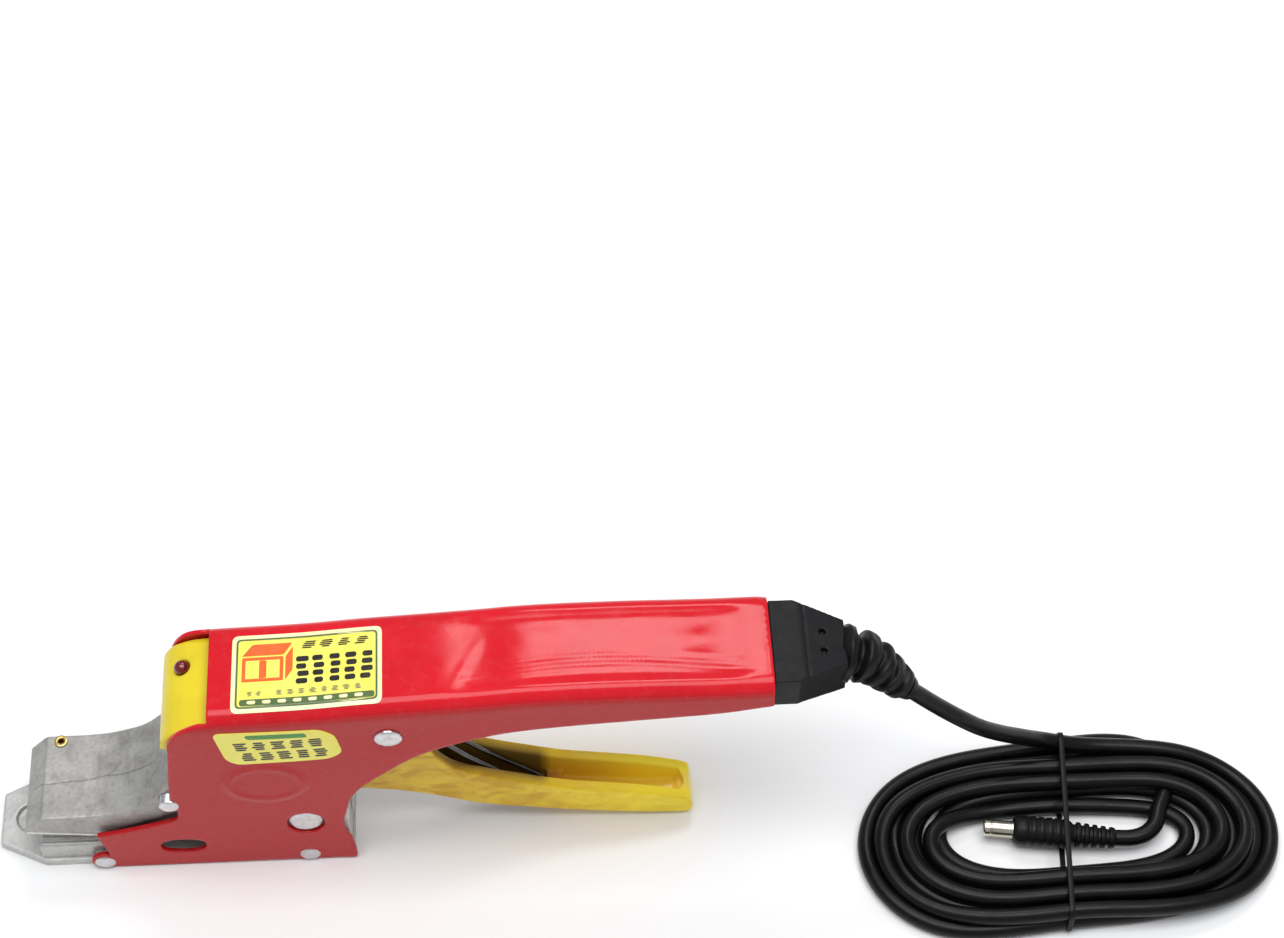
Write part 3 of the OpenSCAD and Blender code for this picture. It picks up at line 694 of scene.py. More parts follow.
def make_camera():
    data = bpy.data.cameras.new("camera")
    data.lens = CAMERA_LENS
    data.sensor_width = 36
    camera = link(bpy.data.objects.new("camera", data))
    forward = (CAMERA_AIM - CAMERA_AT).normalized()
    level = forward.to_track_quat("-Z", "Y").to_matrix().to_4x4()
    camera.matrix_world = Matrix.Translation(CAMERA_AT) @ level @ Matrix.Rotation(CAMERA_ROLL, 4, "Z")
    data.clip_start = 0.01
    data.clip_end = 20
    bpy.context.scene.camera = camera


def area_light(name, place, target, size, power, roll=0.0):
    """A rectangular light, with its place, target and size in metres and its roll in degrees."""
    data = bpy.data.lights.new(name, "AREA")
    data.shape = "RECTANGLE"
    data.size, data.size_y = size
    data.energy = power
    lamp = link(bpy.data.objects.new(name, data))
    lamp.location = place
    aim = (Vector(target) - Vector(place)).to_track_quat("-Z", "Y").to_matrix()
    lamp.rotation_euler = (aim @ Matrix.Rotation(math.radians(roll), 3, "Z")).to_euler()


def make_studio():
    scene = bpy.context.scene
    scene.view_settings.view_transform = "Standard"
    scene.view_settings.look = "None"
    world = bpy.data.worlds.new("studio")
    world.use_nodes = True
    sky = world.node_tree.nodes["Background"].inputs
    sky["Color"].default_value = (0.93, 0.96, 1.0, 1)
    sky["Strength"].default_value = 0.46
    scene.world = world
    area_light("overhead", (0.14, -0.14, 1.4), (0.14, -0.05, 0), (1.4, 0.8), 15.5)
    area_light("softbox", (0.26, 0.71, 1.2), (0.14, 0, 0.09), (0.52, 0.32), 3.7, 16)
    corners = [(x * FLOOR_REACH, y * FLOOR_REACH, 0) for x, y in ((-1, -1), (1, -1), (1, 1), (-1, 1))]
    floor = mesh_object("floor", corners, [(0, 1, 2, 3)], 40)
    f = Finish("pale_floor")
    f.colour(f.mix(f.rise(f.noise(220, 2), 0.3, 0.7), (0.93, 0.93, 0.93), (0.91, 0.91, 0.91)))
    floor.data.materials.append(f.done(Roughness=0.75))


make_camera()
make_studio()


# ---------- cord ----------

CORD_D = 5.5
ON_TABLE = CORD_D / 2
RELIEF_PATH = [(211, 0, 84), (217, -0.5, 82), (223, -1.5, 76.5), (228.5, -2, 70), (232, -2, 65.5)]
LEAD_ROUTE = [(232, -2, 65.5), (237, -2, 60), (243, -2, 53.5), (250, -2, 46.5), (258, -1, 38),
              (266, 1.5, 29.5), (274, 4.5, 21.5), (281, 7, 15), (287, 8, 11.5)]
TAIL_ROUTE = [(303, -25.6, 5.8), (308, -26, 5.8), (313.5, -24.6, 6), (317.5, -20.5, 6.2),
              (318.4, -15.5, 6.5)]
PLUG_AT = (270, -21, 5.75)
PLUG_TURN = math.radians(-8)
BARREL = 9.5
HANK_AT = (288.6, -23.2)
HANK_TOP = 25
HANK_SQUARENESS = 0.84
TOP_TURNS, LOW_TURNS, TURN_STEPS = 3, 4, 24
# a turn's half-length and its far and near half-widths: at the start, and the change per turn
TOP_SIZE, TOP_CHANGE = np.array([68.2, 32.4, 36.4]), np.array([-6.7, -6.2, -6.6])
LOW_SIZE, LOW_CHANGE = np.array([41.4, 15.2, 13.2]), np.array([6.9, 5.2, 5.6])
# the tie: where it crosses the hank, how far it lifts the strands, and how far it clears the table
TIE_X, TIE_LIFT, TIE_GAP = 288, 0.8, 0.3
# settling the cord: spacing of its points, rounds, and how much of each move is made in a round
CORD_STEP = 3.4
SETTLE_ROUNDS, SMOOTH_ROUNDS = 260, 14
SINK, PULL_BACK, PUSH_APART = 0.12, 0.06, 0.45
STIFFNESS = np.array([0.15, 0.15, 0.4])


def hank_point(turn, half_length, far, near, height):
    """A point of the hank after so many clockwise turns from the far side, seen from above. The hank
    is waisted at the tie, and its two ends bulge."""
    a = math.radians(90 - 360 * turn)
    c, s = math.cos(a), math.sin(a)
    x = HANK_AT[0] + half_length * squared(c, HANK_SQUARENESS)
    waist = 1 - 0.14 * bell(x - TIE_X, 22)
    half_width, lean = (far, 0.04) if s > 0 else (near, -0.12)
    half_width *= waist * (1 + lean * (x - HANK_AT[0]) / half_length)
    return (x, HANK_AT[1] + half_width * squared(s, HANK_SQUARENESS), height)


def cord_route():
    """Centreline from the strain relief to the plug: the lead, three turns inwards on top, four turns
    outwards at the bottom, then under the far strands and into the hank's hole."""
    lead = smooth_line(LEAD_ROUTE, 4)
    turns = np.arange(1, TOP_TURNS * TURN_STEPS + 1) / TURN_STEPS
    top = [hank_point(t, *(TOP_SIZE + t * TOP_CHANGE), 9.5) for t in turns]
    turns = np.arange(4, LOW_TURNS * TURN_STEPS - 2) / TURN_STEPS
    low = [hank_point(t, *(LOW_SIZE + t * LOW_CHANGE), ON_TABLE) for t in turns]
    under = [(299, 12.4, ON_TABLE), (309, 13.2, ON_TABLE), (319, 11.2, ON_TABLE), (326, 4.5, ON_TABLE),
             (327, -3.5, 3.2), (322.5, -10, 5)]
    tail = smooth_line(TAIL_ROUTE, 4)[::-1]
    return np.array([*lead, *top, *low, *under, *tail]), len(lead), len(tail)


def settle(points, fixed_start, fixed_end):
    """Lets the strands down onto the table and each other, and pushes them a diameter apart."""
    target = points.copy()
    p = points.copy()
    n = len(p)
    index = np.arange(n)
    not_neighbours = np.triu(np.abs(index[:, None] - index[None]) > 5)
    free = np.ones(n)
    free[:fixed_start] = 0
    free[n - fixed_end:] = 0
    for _ in range(SETTLE_ROUNDS):
        p[:, 2] -= SINK * free
        p[:, :2] += PULL_BACK * (target[:, :2] - p[:, :2]) * free[:, None]
        middle = (p[:-2] + p[2:]) / 2
        bend = np.zeros_like(p)
        bend[1:-1] = middle - p[1:-1]
        p += bend * free[:, None] * STIFFNESS
        gap = p[:, None] - p[None]
        distance = np.linalg.norm(gap, axis=2)
        i, j = np.nonzero(not_neighbours & (distance < CORD_D))
        if len(i):
            away = gap[i, j] / np.maximum(distance[i, j], 1e-6)[:, None]
            away[:, 2] += np.where(target[i, 2] + 0.01 >= target[j, 2], 0.25, -0.25)
            away /= np.linalg.norm(away, axis=1)[:, None]
            push = away * ((CORD_D - distance[i, j]) * PUSH_APART)[:, None]
            move = np.zeros_like(p)
            count = np.zeros(n)
            for k, sign in ((i, 1), (j, -1)):
                np.add.at(move, k, sign * push)
                np.add.at(count, k, 1)
            p += move / np.maximum(count, 1)[:, None] * 1.4 * free[:, None]
        floor = ON_TABLE + TIE_LIFT * bell(p[:, 0] - TIE_X, 14)
        p[:, 2] = np.where(free > 0, np.maximum(p[:, 2], floor), p[:, 2])
    for _ in range(SMOOTH_ROUNDS):
        p[1:-1] += 0.45 * ((p[:-2] + p[2:]) / 2 - p[1:-1]) * free[1:-1, None]
    return p


def make_cord():
    """The cord, settled between the end of its lead and the start of its tail, which stay put."""
    points, lead, tail = cord_route()
    spaced = even(points, CORD_STEP)
    near_start, near_end = 80, 40
    from_lead = np.linalg.norm(spaced - points[lead - 1], axis=1)[:near_start].argmin()
    to_tail = np.linalg.norm(spaced - points[-tail], axis=1)[-near_end:].argmin()
    line = settle(spaced, int(from_lead), int(near_end - to_tail))
    cord = curve_object("cord", line, CORD_D / 2, 5)
    finish_piece(cord, "cord", "root", "cord_lead", "cord_hank", "cord_tail")
    return cord, line


def hull_2d(points):
    """Convex outline of 2D points, anticlockwise."""
    p = sorted(map(tuple, points))
    halves = []
    for seq in (p, p[::-1]):
        half = []
        for q in seq:
            while len(half) > 1 and ((half[-1][0] - half[-2][0]) * (q[1] - half[-2][1])
                                     - (half[-1][1] - half[-2][1]) * (q[0] - half[-2][0])) <= 0:
                half.pop()
            half.append(q)
        halves += half[:-1]
    return halves


def tie_x(y):
    """The tie's place along the hank: it lies slightly askew across it."""
    return 289 + (y - 8) * 5 / 61


def make_tie(line):
    """A thin band drawn round every strand where it crosses the tie's plane."""
    off = line[:, 0] - tie_x(line[:, 1])
    cross = np.nonzero(np.sign(off[:-1]) != np.sign(off[1:]))[0]
    radius = CORD_D / 2 + 0.35
    ring = []
    for i in cross:
        t = off[i] / (off[i] - off[i + 1])
        y, z = (line[i] + t * (line[i + 1] - line[i]))[1:]
        if z < HANK_TOP:
            ring += [(a, max(TIE_GAP, b)) for a, b in ellipse((y, z), radius, radius, 24)]
    outline = even_loop(hull_2d(ring), 1.2)
    outline[:, 1] = np.maximum(outline[:, 1], TIE_GAP)
    points = []
    section = [(-0.85, -0.2), (-0.85, 0.25), (-0.6, 0.38), (0.6, 0.38), (0.85, 0.25), (0.85, -0.2)]
    centre = outline.mean(0)
    n, m = len(outline), len(section)
    for k, (y, z) in enumerate(outline):
        along = outline[(k + 1) % n] - outline[k - 1]
        out = np.array([along[1], -along[0]])
        out /= np.linalg.norm(out)
        if out @ (outline[k] - centre) < 0:
            out = -out
        for dx, dn in section:
            points.append((tie_x(y) + dx, y + out[0] * dn, max(0.02, z + out[1] * dn)))
    faces = [tuple(i % (n * m) for i in face) for face in ring_faces(n + 1, m)]
    tie = mesh_object("cord_tie_band", points, faces, 50)
    finish_piece(tie, "rubber", "root", "cord_tie")
    return tie


def plug_piece(name, profile, smooth_angle, material, node):
    """A turned piece of the plug: profile is (radius, distance behind the moulding's front)."""
    obj = lathe(name, profile, (0, 0, 0), (1, 0, 0), 40, smooth_angle)
    obj.data.transform(Matrix.Translation(Vector(PLUG_AT) * MM) @ Matrix.Rotation(PLUG_TURN, 4, "Z"))
    return finish_piece(obj, material, "root", node)


def make_plug():
    """Moulded plug with finger ridges and a ribbed tail, and its bright barrel."""
    profile = [(0, 0), (3.7, 0), (4.2, 0.4), (4.75, 1.4)]
    ridges = ribs = 5
    for x in 3.2 + 2.6 * np.arange(ridges):
        profile += [(4.9, x), (4.9, x + 1.4), (4.55, x + 1.8), (4.55, x + 2.3)]
    profile += [(4.9, 16.4), (4.8, 17.4), (4.2, 18.6)]
    for k in range(ribs):
        x, r = 19.4 + 2.7 * k, 4.15 - 0.17 * k
        profile += [(r - 0.75, x), (r - 0.75, x + 0.8), (r, x + 1.1), (r, x + 2.1), (r - 0.2, x + 2.4)]
    profile += [(3.1, 33), (0, 33.3)]
    body = plug_piece("plug_moulding", profile, 50, "rubber", "plug_body")
    profile = [(1.05, -6), (1.05, -BARREL), (1.35, -BARREL), (2.35, -BARREL), (2.75, 0.45 - BARREL),
               (2.75, -7.4), (2.6, -7.2), (2.6, -6.8), (2.75, -6.6), (2.75, -0.6), (2.9, -0.5), (2.9, 0.3),
               (0, 0.3), (0, -6)]
    return body, plug_piece("plug_tip", profile, 35, "nickel", "plug_barrel")


cord, cord_line = make_cord()
tie = make_tie(cord_line)
plug, barrel = make_plug()
cord_length = float(np.linalg.norm(np.diff(cord_line, axis=0), axis=1).sum())
print("cord length mm", round(cord_length, 1))


# ---------- folded sheet body ----------

SIDE = 18.0
SHEET = 1.5
FOLD_R = 5.5
FLAT = SIDE - FOLD_R
FOLD_END = FLAT + FOLD_R * math.pi / 2
WEB_X, END_X = 18.0, 188.0
RING_AT = (32.3, 50.0)
UP = Vector((0, 0, 1))

WEB_TOP = smooth_line([(10, 86.6), (23, 87.3), (46, 88.3), (64, 90.0), (78, 91.0), (88, 91.7), (100, 92.6),
                       (111, 93.7), (123, 94.2), (135, 94.3), (147, 94.2), (159, 93.9), (171, 93.7),
                       (180, 93.8), (192, 93.8)], 6)


def web_z(x):
    return np.interp(x, WEB_TOP[:, 0], WEB_TOP[:, 1])


def flat_s(x, z):
    """Distance across the flat sheet, from the web's middle, of a point at height z on the near plate."""
    drop = web_z(x) - z
    return np.where(drop < FOLD_R, FLAT + FOLD_R * np.arccos(np.clip(1 - drop / FOLD_R, 0, 1)),
                    FOLD_END + drop - FOLD_R)


def sheet_lift(x, s):
    """Height of the sheet's stamped, bent and dented features off its plain outer face."""
    t = np.abs(s)
    z = web_z(x) - FOLD_R - (t - FOLD_END)
    lift = np.zeros(len(x))
    flat = 0 * x
    # side plates: stamped ring, slight waviness, dished round the trigger's rivet
    plate = t > FOLD_END + 2
    ring = np.hypot((x - RING_AT[0]) / 12.4, (z - RING_AT[1]) / 10.3)
    lift += plate * (0.65 * bell(ring - 0.93, 0.075) + 0.2 * ease(-ring, -0.95, -0.8))
    lift += plate * 0.10 * lumps(np.stack([x, t, flat], 1), 60, 3)
    rivet = np.hypot(x - TRIGGER_PIVOT[0], z - TRIGGER_PIVOT[1])
    lift -= plate * 0.25 * bell(rivet, 6.5)
    # web and handle: dished along the handle, with waves, a dent and a bump
    web = 1 - ease(t, 9.5, 14.5)
    dish = ease(x, 86, 106) * (1 - ease(x, 174, 186))
    lift -= web * dish * 0.75
    lift += (1 - ease(t, 14, 20)) * ease(x, 82, 96) * 0.05 * lumps(np.stack([x * 0.35, s, flat], 1), 9, 5)
    lift += web * 0.10 * lumps(np.stack([x, s, flat], 1), 42, 8)
    lift -= 0.42 * bell(x - 167, 6.5) * bell(s - 1.5, 4.4)
    lift += 0.07 * np.exp(-((x - 171.5) ** 2 + (s - 3.5) ** 2) / 1.3)
    # ripples beside a crest that bows along the near edge of the handle
    crest = s + 9.5 - 4.0 * np.sin(np.clip((x - 86) / 97, 0, 1) * math.pi)
    lift += dish * 0.12 * np.sin(crest * 2 * math.pi / 3.1) * bell(crest, 3.8)
    # crease across the web where the handle begins
    fold = (x - 91 - 0.55 * (s + 12)) / 1.5
    lift += web * 0.08 * bell(fold, 1) * ease(s, -14, -9) * (1 - ease(s, 2, 7))
    lift -= web * 0.06 * bell(fold - 2.6, 1.4) * ease(s, -14, -8) * (1 - ease(s, 0, 6))
    lift -= 0.25 * ease(x, 184.5, END_X) * (1 - plate)
    flare = ease(x, 52, 58.5) * (1 - ease(z, 3, 12)) * plate
    return lift + 0.2 * flare


def on_shell(x, s, off):
    """Points off the outer face of the folded sheet: x along the tool, s across the flat sheet."""
    x, s = np.asarray(x, float), np.asarray(s, float)
    t, sign = np.abs(s), np.sign(s)
    a = np.clip((t - FLAT) / FOLD_R, 0, math.pi / 2)
    down = np.maximum(t - FOLD_END, 0)
    lift = sheet_lift(x, s) + off
    y = np.minimum(t, FLAT) + FOLD_R * np.sin(a) + lift * np.sin(a)
    z = web_z(x) - FOLD_R * (1 - np.cos(a)) - down + lift * np.cos(a)
    return np.stack([x, y * sign, z], 1)


def side_outline():
    """Outline of one side plate as [x, z], from the web's front corner to the handle's end."""
    front = [(18, 84.6)] + arc((19, 70.6), 14.4, 105, 165, 12)
    front += [(4.8, 70.2), (4.4, 66), (4, 62.7), (3.3, 56), (2.7, 50), (2.4, 44), (2.6, 39), (3.5, 35.2),
              (3.7, 34), (3.4, 31), (2.7, 29.3), (-4, 26.5), (-13, 23.4), (-19, 21.8), (-23.2, 20.9)]
    neck = [(-22.4, 16.5), (-21.4, 12), (-20.9, 9.2)]
    lobe = arc((-22.8, 4.4), 4.2, 62, 298, 18)
    bottom = [(x, 0.6) for x in np.linspace(-19, 56, 26)]
    rear = [(57.3, 0.7), (57.7, 1.4), (57.7, 4.8), (57.3, 9), (56.7, 13), (55.7, 16), (54.9, 19.5),
            (54.7, 22.5), (55.1, 26), (55.8, 29)]
    under = smooth_line([(56.6, 33), (58, 38.5), (62, 45.5), (70, 54), (80, 63), (92, 69.2), (106, 74),
                         (123, 76.6), (147, 78.8), (171, 81), (184, 83.4), (187.6, 84)], 5)
    return front + neck + lobe + bottom + rear + [tuple(p) for p in under] + [(END_X, 84.6)]


def window_hole():
    """The round-ended window near the plates' front."""
    turns = np.linspace(0, 2 * math.pi, 44, endpoint=False)
    return [(3.2 + 7.2 * squared(math.cos(a), 0.85), 12.6 + 4 * squared(math.sin(a), 0.85)) for a in turns]


def unfold(outline, sign):
    p = np.array(outline)
    return [(x, sign * s) for x, s in zip(p[:, 0], flat_s(p[:, 0], p[:, 1]))]


def folded(name, outline, holes, grid, off, thick, outward, edge):
    """A piece of sheet on the body's folded face, given as an outline of (x, s). Its outer face stands
    off the body's by off, and its edges are rounded by edge."""
    points, faces = flat_mesh(outline, holes, np.array(grid))
    made = mesh_object(name, on_shell(points[:, 0], points[:, 1], off), faces, 180)
    face_out(made.data, outward)
    modifier(made, "SOLIDIFY", thickness=thick * MM, offset=-1)
    if edge:
        bevel(made, edge, 55)
    apply_modifiers(made)
    shade(made, 50)
    return made


def make_shell():
    near, far = (unfold(side_outline(), sign) for sign in (-1, 1))
    end = far[-1][1] - 1.2
    web_front = [(WEB_X, s) for s in np.linspace(16.5, -16.5, 22)]
    web_end = [(END_X, s) for s in np.linspace(-end, end, 30)]
    outline = [tuple(p) for p in even_loop(web_front + near + web_end + far[::-1], 1.0)]
    cut_outs = [window_hole(), ellipse(TRIGGER_PIVOT, 3.05, 3.05), ellipse(BLOCK_RIVET, 6, 6)]
    cut_outs += [ellipse(place, 1.55, 1.55, 16) for place in BASE_RIVETS]
    holes = [unfold(hole, sign) for sign in (-1, 1) for hole in cut_outs]
    step, fine, finest = 1.35, 0.72, 0.62
    fold = np.arange(FLAT + 0.3, FOLD_END, fine)
    plate = np.arange(FOLD_END + 0.4, 112, step)
    rippled = np.arange(-FLAT + 0.6, -2, finest)
    rows = np.concatenate([rippled, np.arange(-2, FLAT, step), fold, -fold, plate, -plate])
    grid = [(x, s) for i, s in enumerate(sorted(rows))
            for x in np.arange(-27 + (i % 2) * step / 2, 189, step)]
    shell = folded("body_shell_sheet", outline, holes, grid, 0, SHEET, UP, 0.28)
    finish_piece(shell, "red", "root", "body_shell")


# ---------- labels ----------

def rounded(outline, radius, steps=6):
    """The outline with its corners rounded."""
    p = np.asarray(outline, float)
    out = []
    for i in range(len(p)):
        a, b, c = p[i - 1], p[i], p[(i + 1) % len(p)]
        u, v = (a - b), (c - b)
        r = min(radius, 0.45 * np.linalg.norm(u), 0.45 * np.linalg.norm(v))
        start, end = b + u / np.linalg.norm(u) * r, b + v / np.linalg.norm(v) * r
        for t in np.linspace(0, 1, steps):
            out.append(tuple((1 - t) ** 2 * start + 2 * t * (1 - t) * b + t * t * end))
    return out


def box_outline(x0, x1, y0, y1, radius):
    return rounded([(x0, y0), (x1, y0), (x1, y1), (x0, y1)], radius, 5)


FILM_THICK, INK_THICK = 0.24, 0.03


def shell_patch(name, outline, holes, off, thick, material):
    """A label's film or one of its printed shapes."""
    outline = [tuple(p) for p in even_loop(outline, 0.8)]
    p = np.array(outline)
    xs, ss = (np.arange(p[:, k].min(), p[:, k].max(), 0.9) for k in (0, 1))
    outward = UP if abs(p[:, 1]).max() < FOLD_END else Vector((0, math.copysign(1, p[0, 1]), 0))
    patch = folded(name, outline, holes, [(x, s) for x in xs for s in ss], off, thick, outward, 0)
    dress(patch, material)
    return patch


def printed(name, items, off):
    """One object for every printed shape of a label: items are (outline, holes, ink)."""
    return join(name, [shell_patch(f"{name}_{i}", outline, holes, off, INK_THICK, ink)
                       for i, (outline, holes, ink) in enumerate(items)])


def strap_pictogram(x, s):
    """A parcel with a strap round it and a seal mark, drawn as plain shapes round (x, s)."""
    front = [(-6.5, -5.6), (6.0, -5.6), (6.0, 3.0), (-6.5, 3.0)]
    inner = [(-5.4, -4.5), (4.9, -4.5), (4.9, 1.9), (-5.4, 1.9)]
    lid = [(-6.5, 3.5), (6.0, 3.5), (8.6, 7.6), (-3.4, 7.6)]
    strap = [(-1.3, -4.4), (0.9, -4.4), (0.9, 1.8), (-1.3, 1.8)]
    end = [(6.6, -5.4), (8.8, -1.9), (8.8, 6.3), (6.6, 2.9)]

    def placed(outline):
        return [(x + a, s + b) for a, b in outline]

    return [(placed(outline), [placed(h) for h in holes], "ink_orange")
            for outline, holes in ((front, [inner]), (lid, []), (strap, []), (end, []))]


def glyph_bars(x0, x1, s0, s1, count, ink, seed, slant=0.0):
    """A row of dark blocks in place of lettering: each is a stack of plain bars of uneven length."""
    rng = np.random.default_rng(seed)
    pitch = (x1 - x0) / count
    wide, high = 0.84 * pitch, s1 - s0
    items = []
    trim = 0.22
    for k in range(count):
        a = x0 + pitch * k + 0.08 * pitch
        for r in (0.0, 0.26, 0.52, 0.78):
            start = a + rng.uniform(0, trim) * wide + slant * r
            stop = a + wide - rng.uniform(0, trim) * wide + slant * r
            bar = box_outline(start, stop, s0 + r * high, s0 + (r + 0.19) * high, 0.05 * high)
            items.append((bar, [], ink))
    return items


def make_top_label():
    x0, x1, s0, s1 = 25.3, 70.6, -15.0, 12.0

    def inset(gap, radius):
        return box_outline(x0 + gap, x1 - gap, s0 + gap, s1 - gap, radius)

    margin = shell_patch("top_label_film", inset(0, 2.0), [], FILM_THICK, FILM_THICK, "label_edge")
    base = printed("top_label_print", [(inset(1.3, 1.4), [inset(1.9, 1.1)], "ink_border"),
                                       (inset(1.9, 1.1), [], "label")], 0.27)
    marks = strap_pictogram(34.9, 1.0)
    for row in ((44.2, 68.4, -6.2, 3.8, 5, "ink", 11), (45.5, 67.0, 6.2, 8.8, 4, "ink", 12, 0.7),
                (29.5, 35.0, -9.6, -8.0, 2, "ink_grey", 13), (38.0, 65.0, -9.6, -7.8, 8, "ink_grey", 14)):
        marks += glyph_bars(*row)
    marks.append((box_outline(27.9, 68.4, -12.9, -10.7, 0.6), [], "ink_border"))
    blocks = [(box_outline(30.2 + 4.6 * k, 32.8 + 4.6 * k, -12.4, -11.2, 0.25), [], "label_edge")
              for k in range(8)]
    label = join("top_label", [margin, base, printed("top_label_marks", marks, 0.30),
                               printed("top_label_gaps", blocks, 0.33)])
    finish_piece(label, None, "root", "top_label")


def make_side_label():
    def near(x, z):
        return x, -float(flat_s(x, z))

    corners = [(19.2, 80.9), (51.2, 81.3), (55.6, 77.8), (57.4, 67.6), (53.4, 64.2), (25.0, 62.6),
               (21.8, 65.8)]
    outline = rounded([near(*c) for c in corners], 2.2)
    side = shell_patch("side_label_film", outline, [], FILM_THICK, FILM_THICK, "label")
    strip = [near(*c) for c in [(28.5, 79.6), (46.8, 79.8), (47.6, 77.4), (29.3, 77.2)]]
    marks = [(rounded(strip, 1.1), [], "ink_green")]
    for z0, z1, x0, x1, seed in ((71.3, 75.9, 24.2, 52.6, 21), (65.2, 69.9, 26.4, 53.8, 22)):
        marks += glyph_bars(x0, x1, near(40, z0)[1], near(40, z1)[1], 5, "ink", seed, -0.5)
    label = join("side_label", [side, printed("side_label_marks", marks, 0.28)])
    finish_piece(label, None, "root", "side_label")


# ---------- rivets and pins ----------

def across(name, profile, place, sides=48):
    """A turned piece whose axis runs across the tool at (x, z); profile is (radius, y)."""
    return lathe(name, profile, (place[0], 0, place[1]), (0, 1, 0), sides, 30)


def both_ends(half):
    """The profile of a pin from the profile of its +Y half, given from the middle of its head."""
    return [(r, -y) for r, y in half] + half[::-1]


def heads(name, head, places, sides=48):
    """One object with a rivet head on each side of the tool at each place."""
    return join(name, [across(f"{name}_head", [(r, sign * y) for r, y in head], place, sides)
                       for place in places for sign in (-1, 1)])


def hammered(obj, height, size, seed):
    """Uneven, as a rivet's head is after the hammer."""
    modifier(obj, "SUBSURF", levels=1, subdivision_type="SIMPLE")
    apply_modifiers(obj)
    roughen(obj, [(size, height), (size * 0.4, height * 0.35)], seed)
    shade(obj, 35)
    return obj


def make_rivets():
    pin_head = [(0, 18.65), (0.5, 18.62), (0.95, 18.75), (1.5, 19.0), (2.6, 18.95), (3.6, 18.7),
                (4.15, 18.35), (4.25, 17.95), (3.0, 17.9)]
    jaw_head = [(0, 18.75), (1.4, 18.78), (2.5, 18.62), (3.05, 18.3), (3.2, 17.9)]
    block_head = [(0, 17.55), (1.2, 17.5), (2.4, 17.62), (3.6, 17.72), (4.6, 17.6), (5.3, 17.25),
                  (5.65, 16.75), (5.7, 16.35), (3.0, 16.35), (3.0, 10.4), (0, 10.4)]
    base_head = [(0, 18.72), (1.0, 18.8), (2.0, 18.68), (2.8, 18.4), (3.25, 18.05), (3.25, 17.95),
                 (1.5, 17.9), (1.5, 11.5), (0, 11.5)]
    pin = across("trigger_pin_rivet", both_ends(pin_head), TRIGGER_PIVOT)
    block_pair = heads("block_rivet_pair", block_head, [BLOCK_RIVET])
    base_set = heads("base_rivet_set", base_head, BASE_RIVETS, 32)
    jaw_pin = across("jaw_pin_rod", both_ends(jaw_head), JAW_PIVOT)
    for piece, height, size, seed, body, node in ((pin, 0.05, 2.6, 31, "root", "trigger_pin"),
                                                  (block_pair, 0.10, 4.0, 41, "root", "block_rivets"),
                                                  (base_set, 0.07, 2.4, 51, "root", "base_rivets"),
                                                  (jaw_pin, 0.04, 2.0, 61, "jaw", "jaw_pin")):
        finish_piece(hammered(piece, height, size, seed), "rivet", body, node)


# ---------- cast and moulded parts ----------

LAMP_AT = (9.5, 6.8, 78.9)
LAMP_TILT = math.radians(-35)


def jaw_texture(obj):
    """Casting skin, a wandering parting line over the top and small dents."""
    p, n = skin(obj)
    x, y = p[:, 0], p[:, 1]
    line = -2.2 + 0.035 * (x + 45) + 0.35 * np.sin(x / 4.5) + 0.2 * np.sin(x / 1.9)
    top = ease(n[:, 2], 0.45, 0.75) * ease(-x, 2, 6) * ease(x, -44.5, -43)
    seam = top * bell(y - line, 0.22)
    branch = -19.5 + 0.8 * (y - line) + 0.5 * np.sin(y / 1.2)
    branch = top * bell(x - branch, 0.28) * ease(y, line, line + 0.4) * (1 - ease(y, line + 3, line + 5))
    seam = np.maximum(seam, 0.8 * branch)
    shown = obj.data.attributes.new("seam", "FLOAT", "POINT")
    shown.data.foreach_set("value", seam.astype(np.float32))
    push = -0.10 * seam + 0.05 * lumps(p, 5.5, 7) + 0.022 * lumps(p, 1.7, 8) + 0.012 * lumps(p, 0.8, 9)
    face = ease(-n[:, 2], 0.9, 0.98)
    set_coords(obj.data, p + n * (push * (1 - face))[:, None])


def cast_piece(obj, voxel, soften, layers, seed, material, node):
    """Moulds and roughens a fixed piece, and finishes it."""
    moulded(obj, voxel, soften)
    roughen(obj, layers, seed)
    finish_piece(obj, material, "root", node)


def make_jaw():
    jaw = moulded(cad_copy("upper_jaw_casting", "upper_jaw"), 0.30, 9)
    jaw_texture(jaw)
    finish_piece(jaw, "zinc", "jaw", "upper_jaw")
    ring = [(0.85, -5), (1.4, -5), (1.4, 0.02), (2.0, 0.05), (2.14, 0.22), (2.0, 0.5), (1.6, 0.64),
            (1.2, 0.6), (0.95, 0.4), (0.85, 0.1), (0.85, -5)]
    eyelet = lathe("jaw_eyelet_ring", ring, (-35.3, 12.9, 28.36), (0, 0, 1), 40, 40)
    finish_piece(eyelet, "brass", "jaw", "jaw_eyelet")


def make_base():
    plate = cad_copy("base_plate_casting", "base_plate")
    cut(plate, lathe("nose_recess", [(0, 0), (5, 0), (5, 4), (0, 4)], (-47.5, 0, 1.5), (0, 0, 1), 48))
    cast_piece(plate, 0.40, 3, [(7, 0.035), (1.9, 0.02)], 71, "base", "base_plate")
    anvil = cad_copy("anvil_casting", "anvil")
    cast_piece(anvil, 0.24, 1, [(4, 0.03), (1.2, 0.015)], 81, "base", "anvil")
    rear = cad_copy("rear_block_casting", "rear_block")
    cast_piece(rear, 0.42, 4, [(5, 0.05), (1.5, 0.03)], 91, "base", "rear_block")


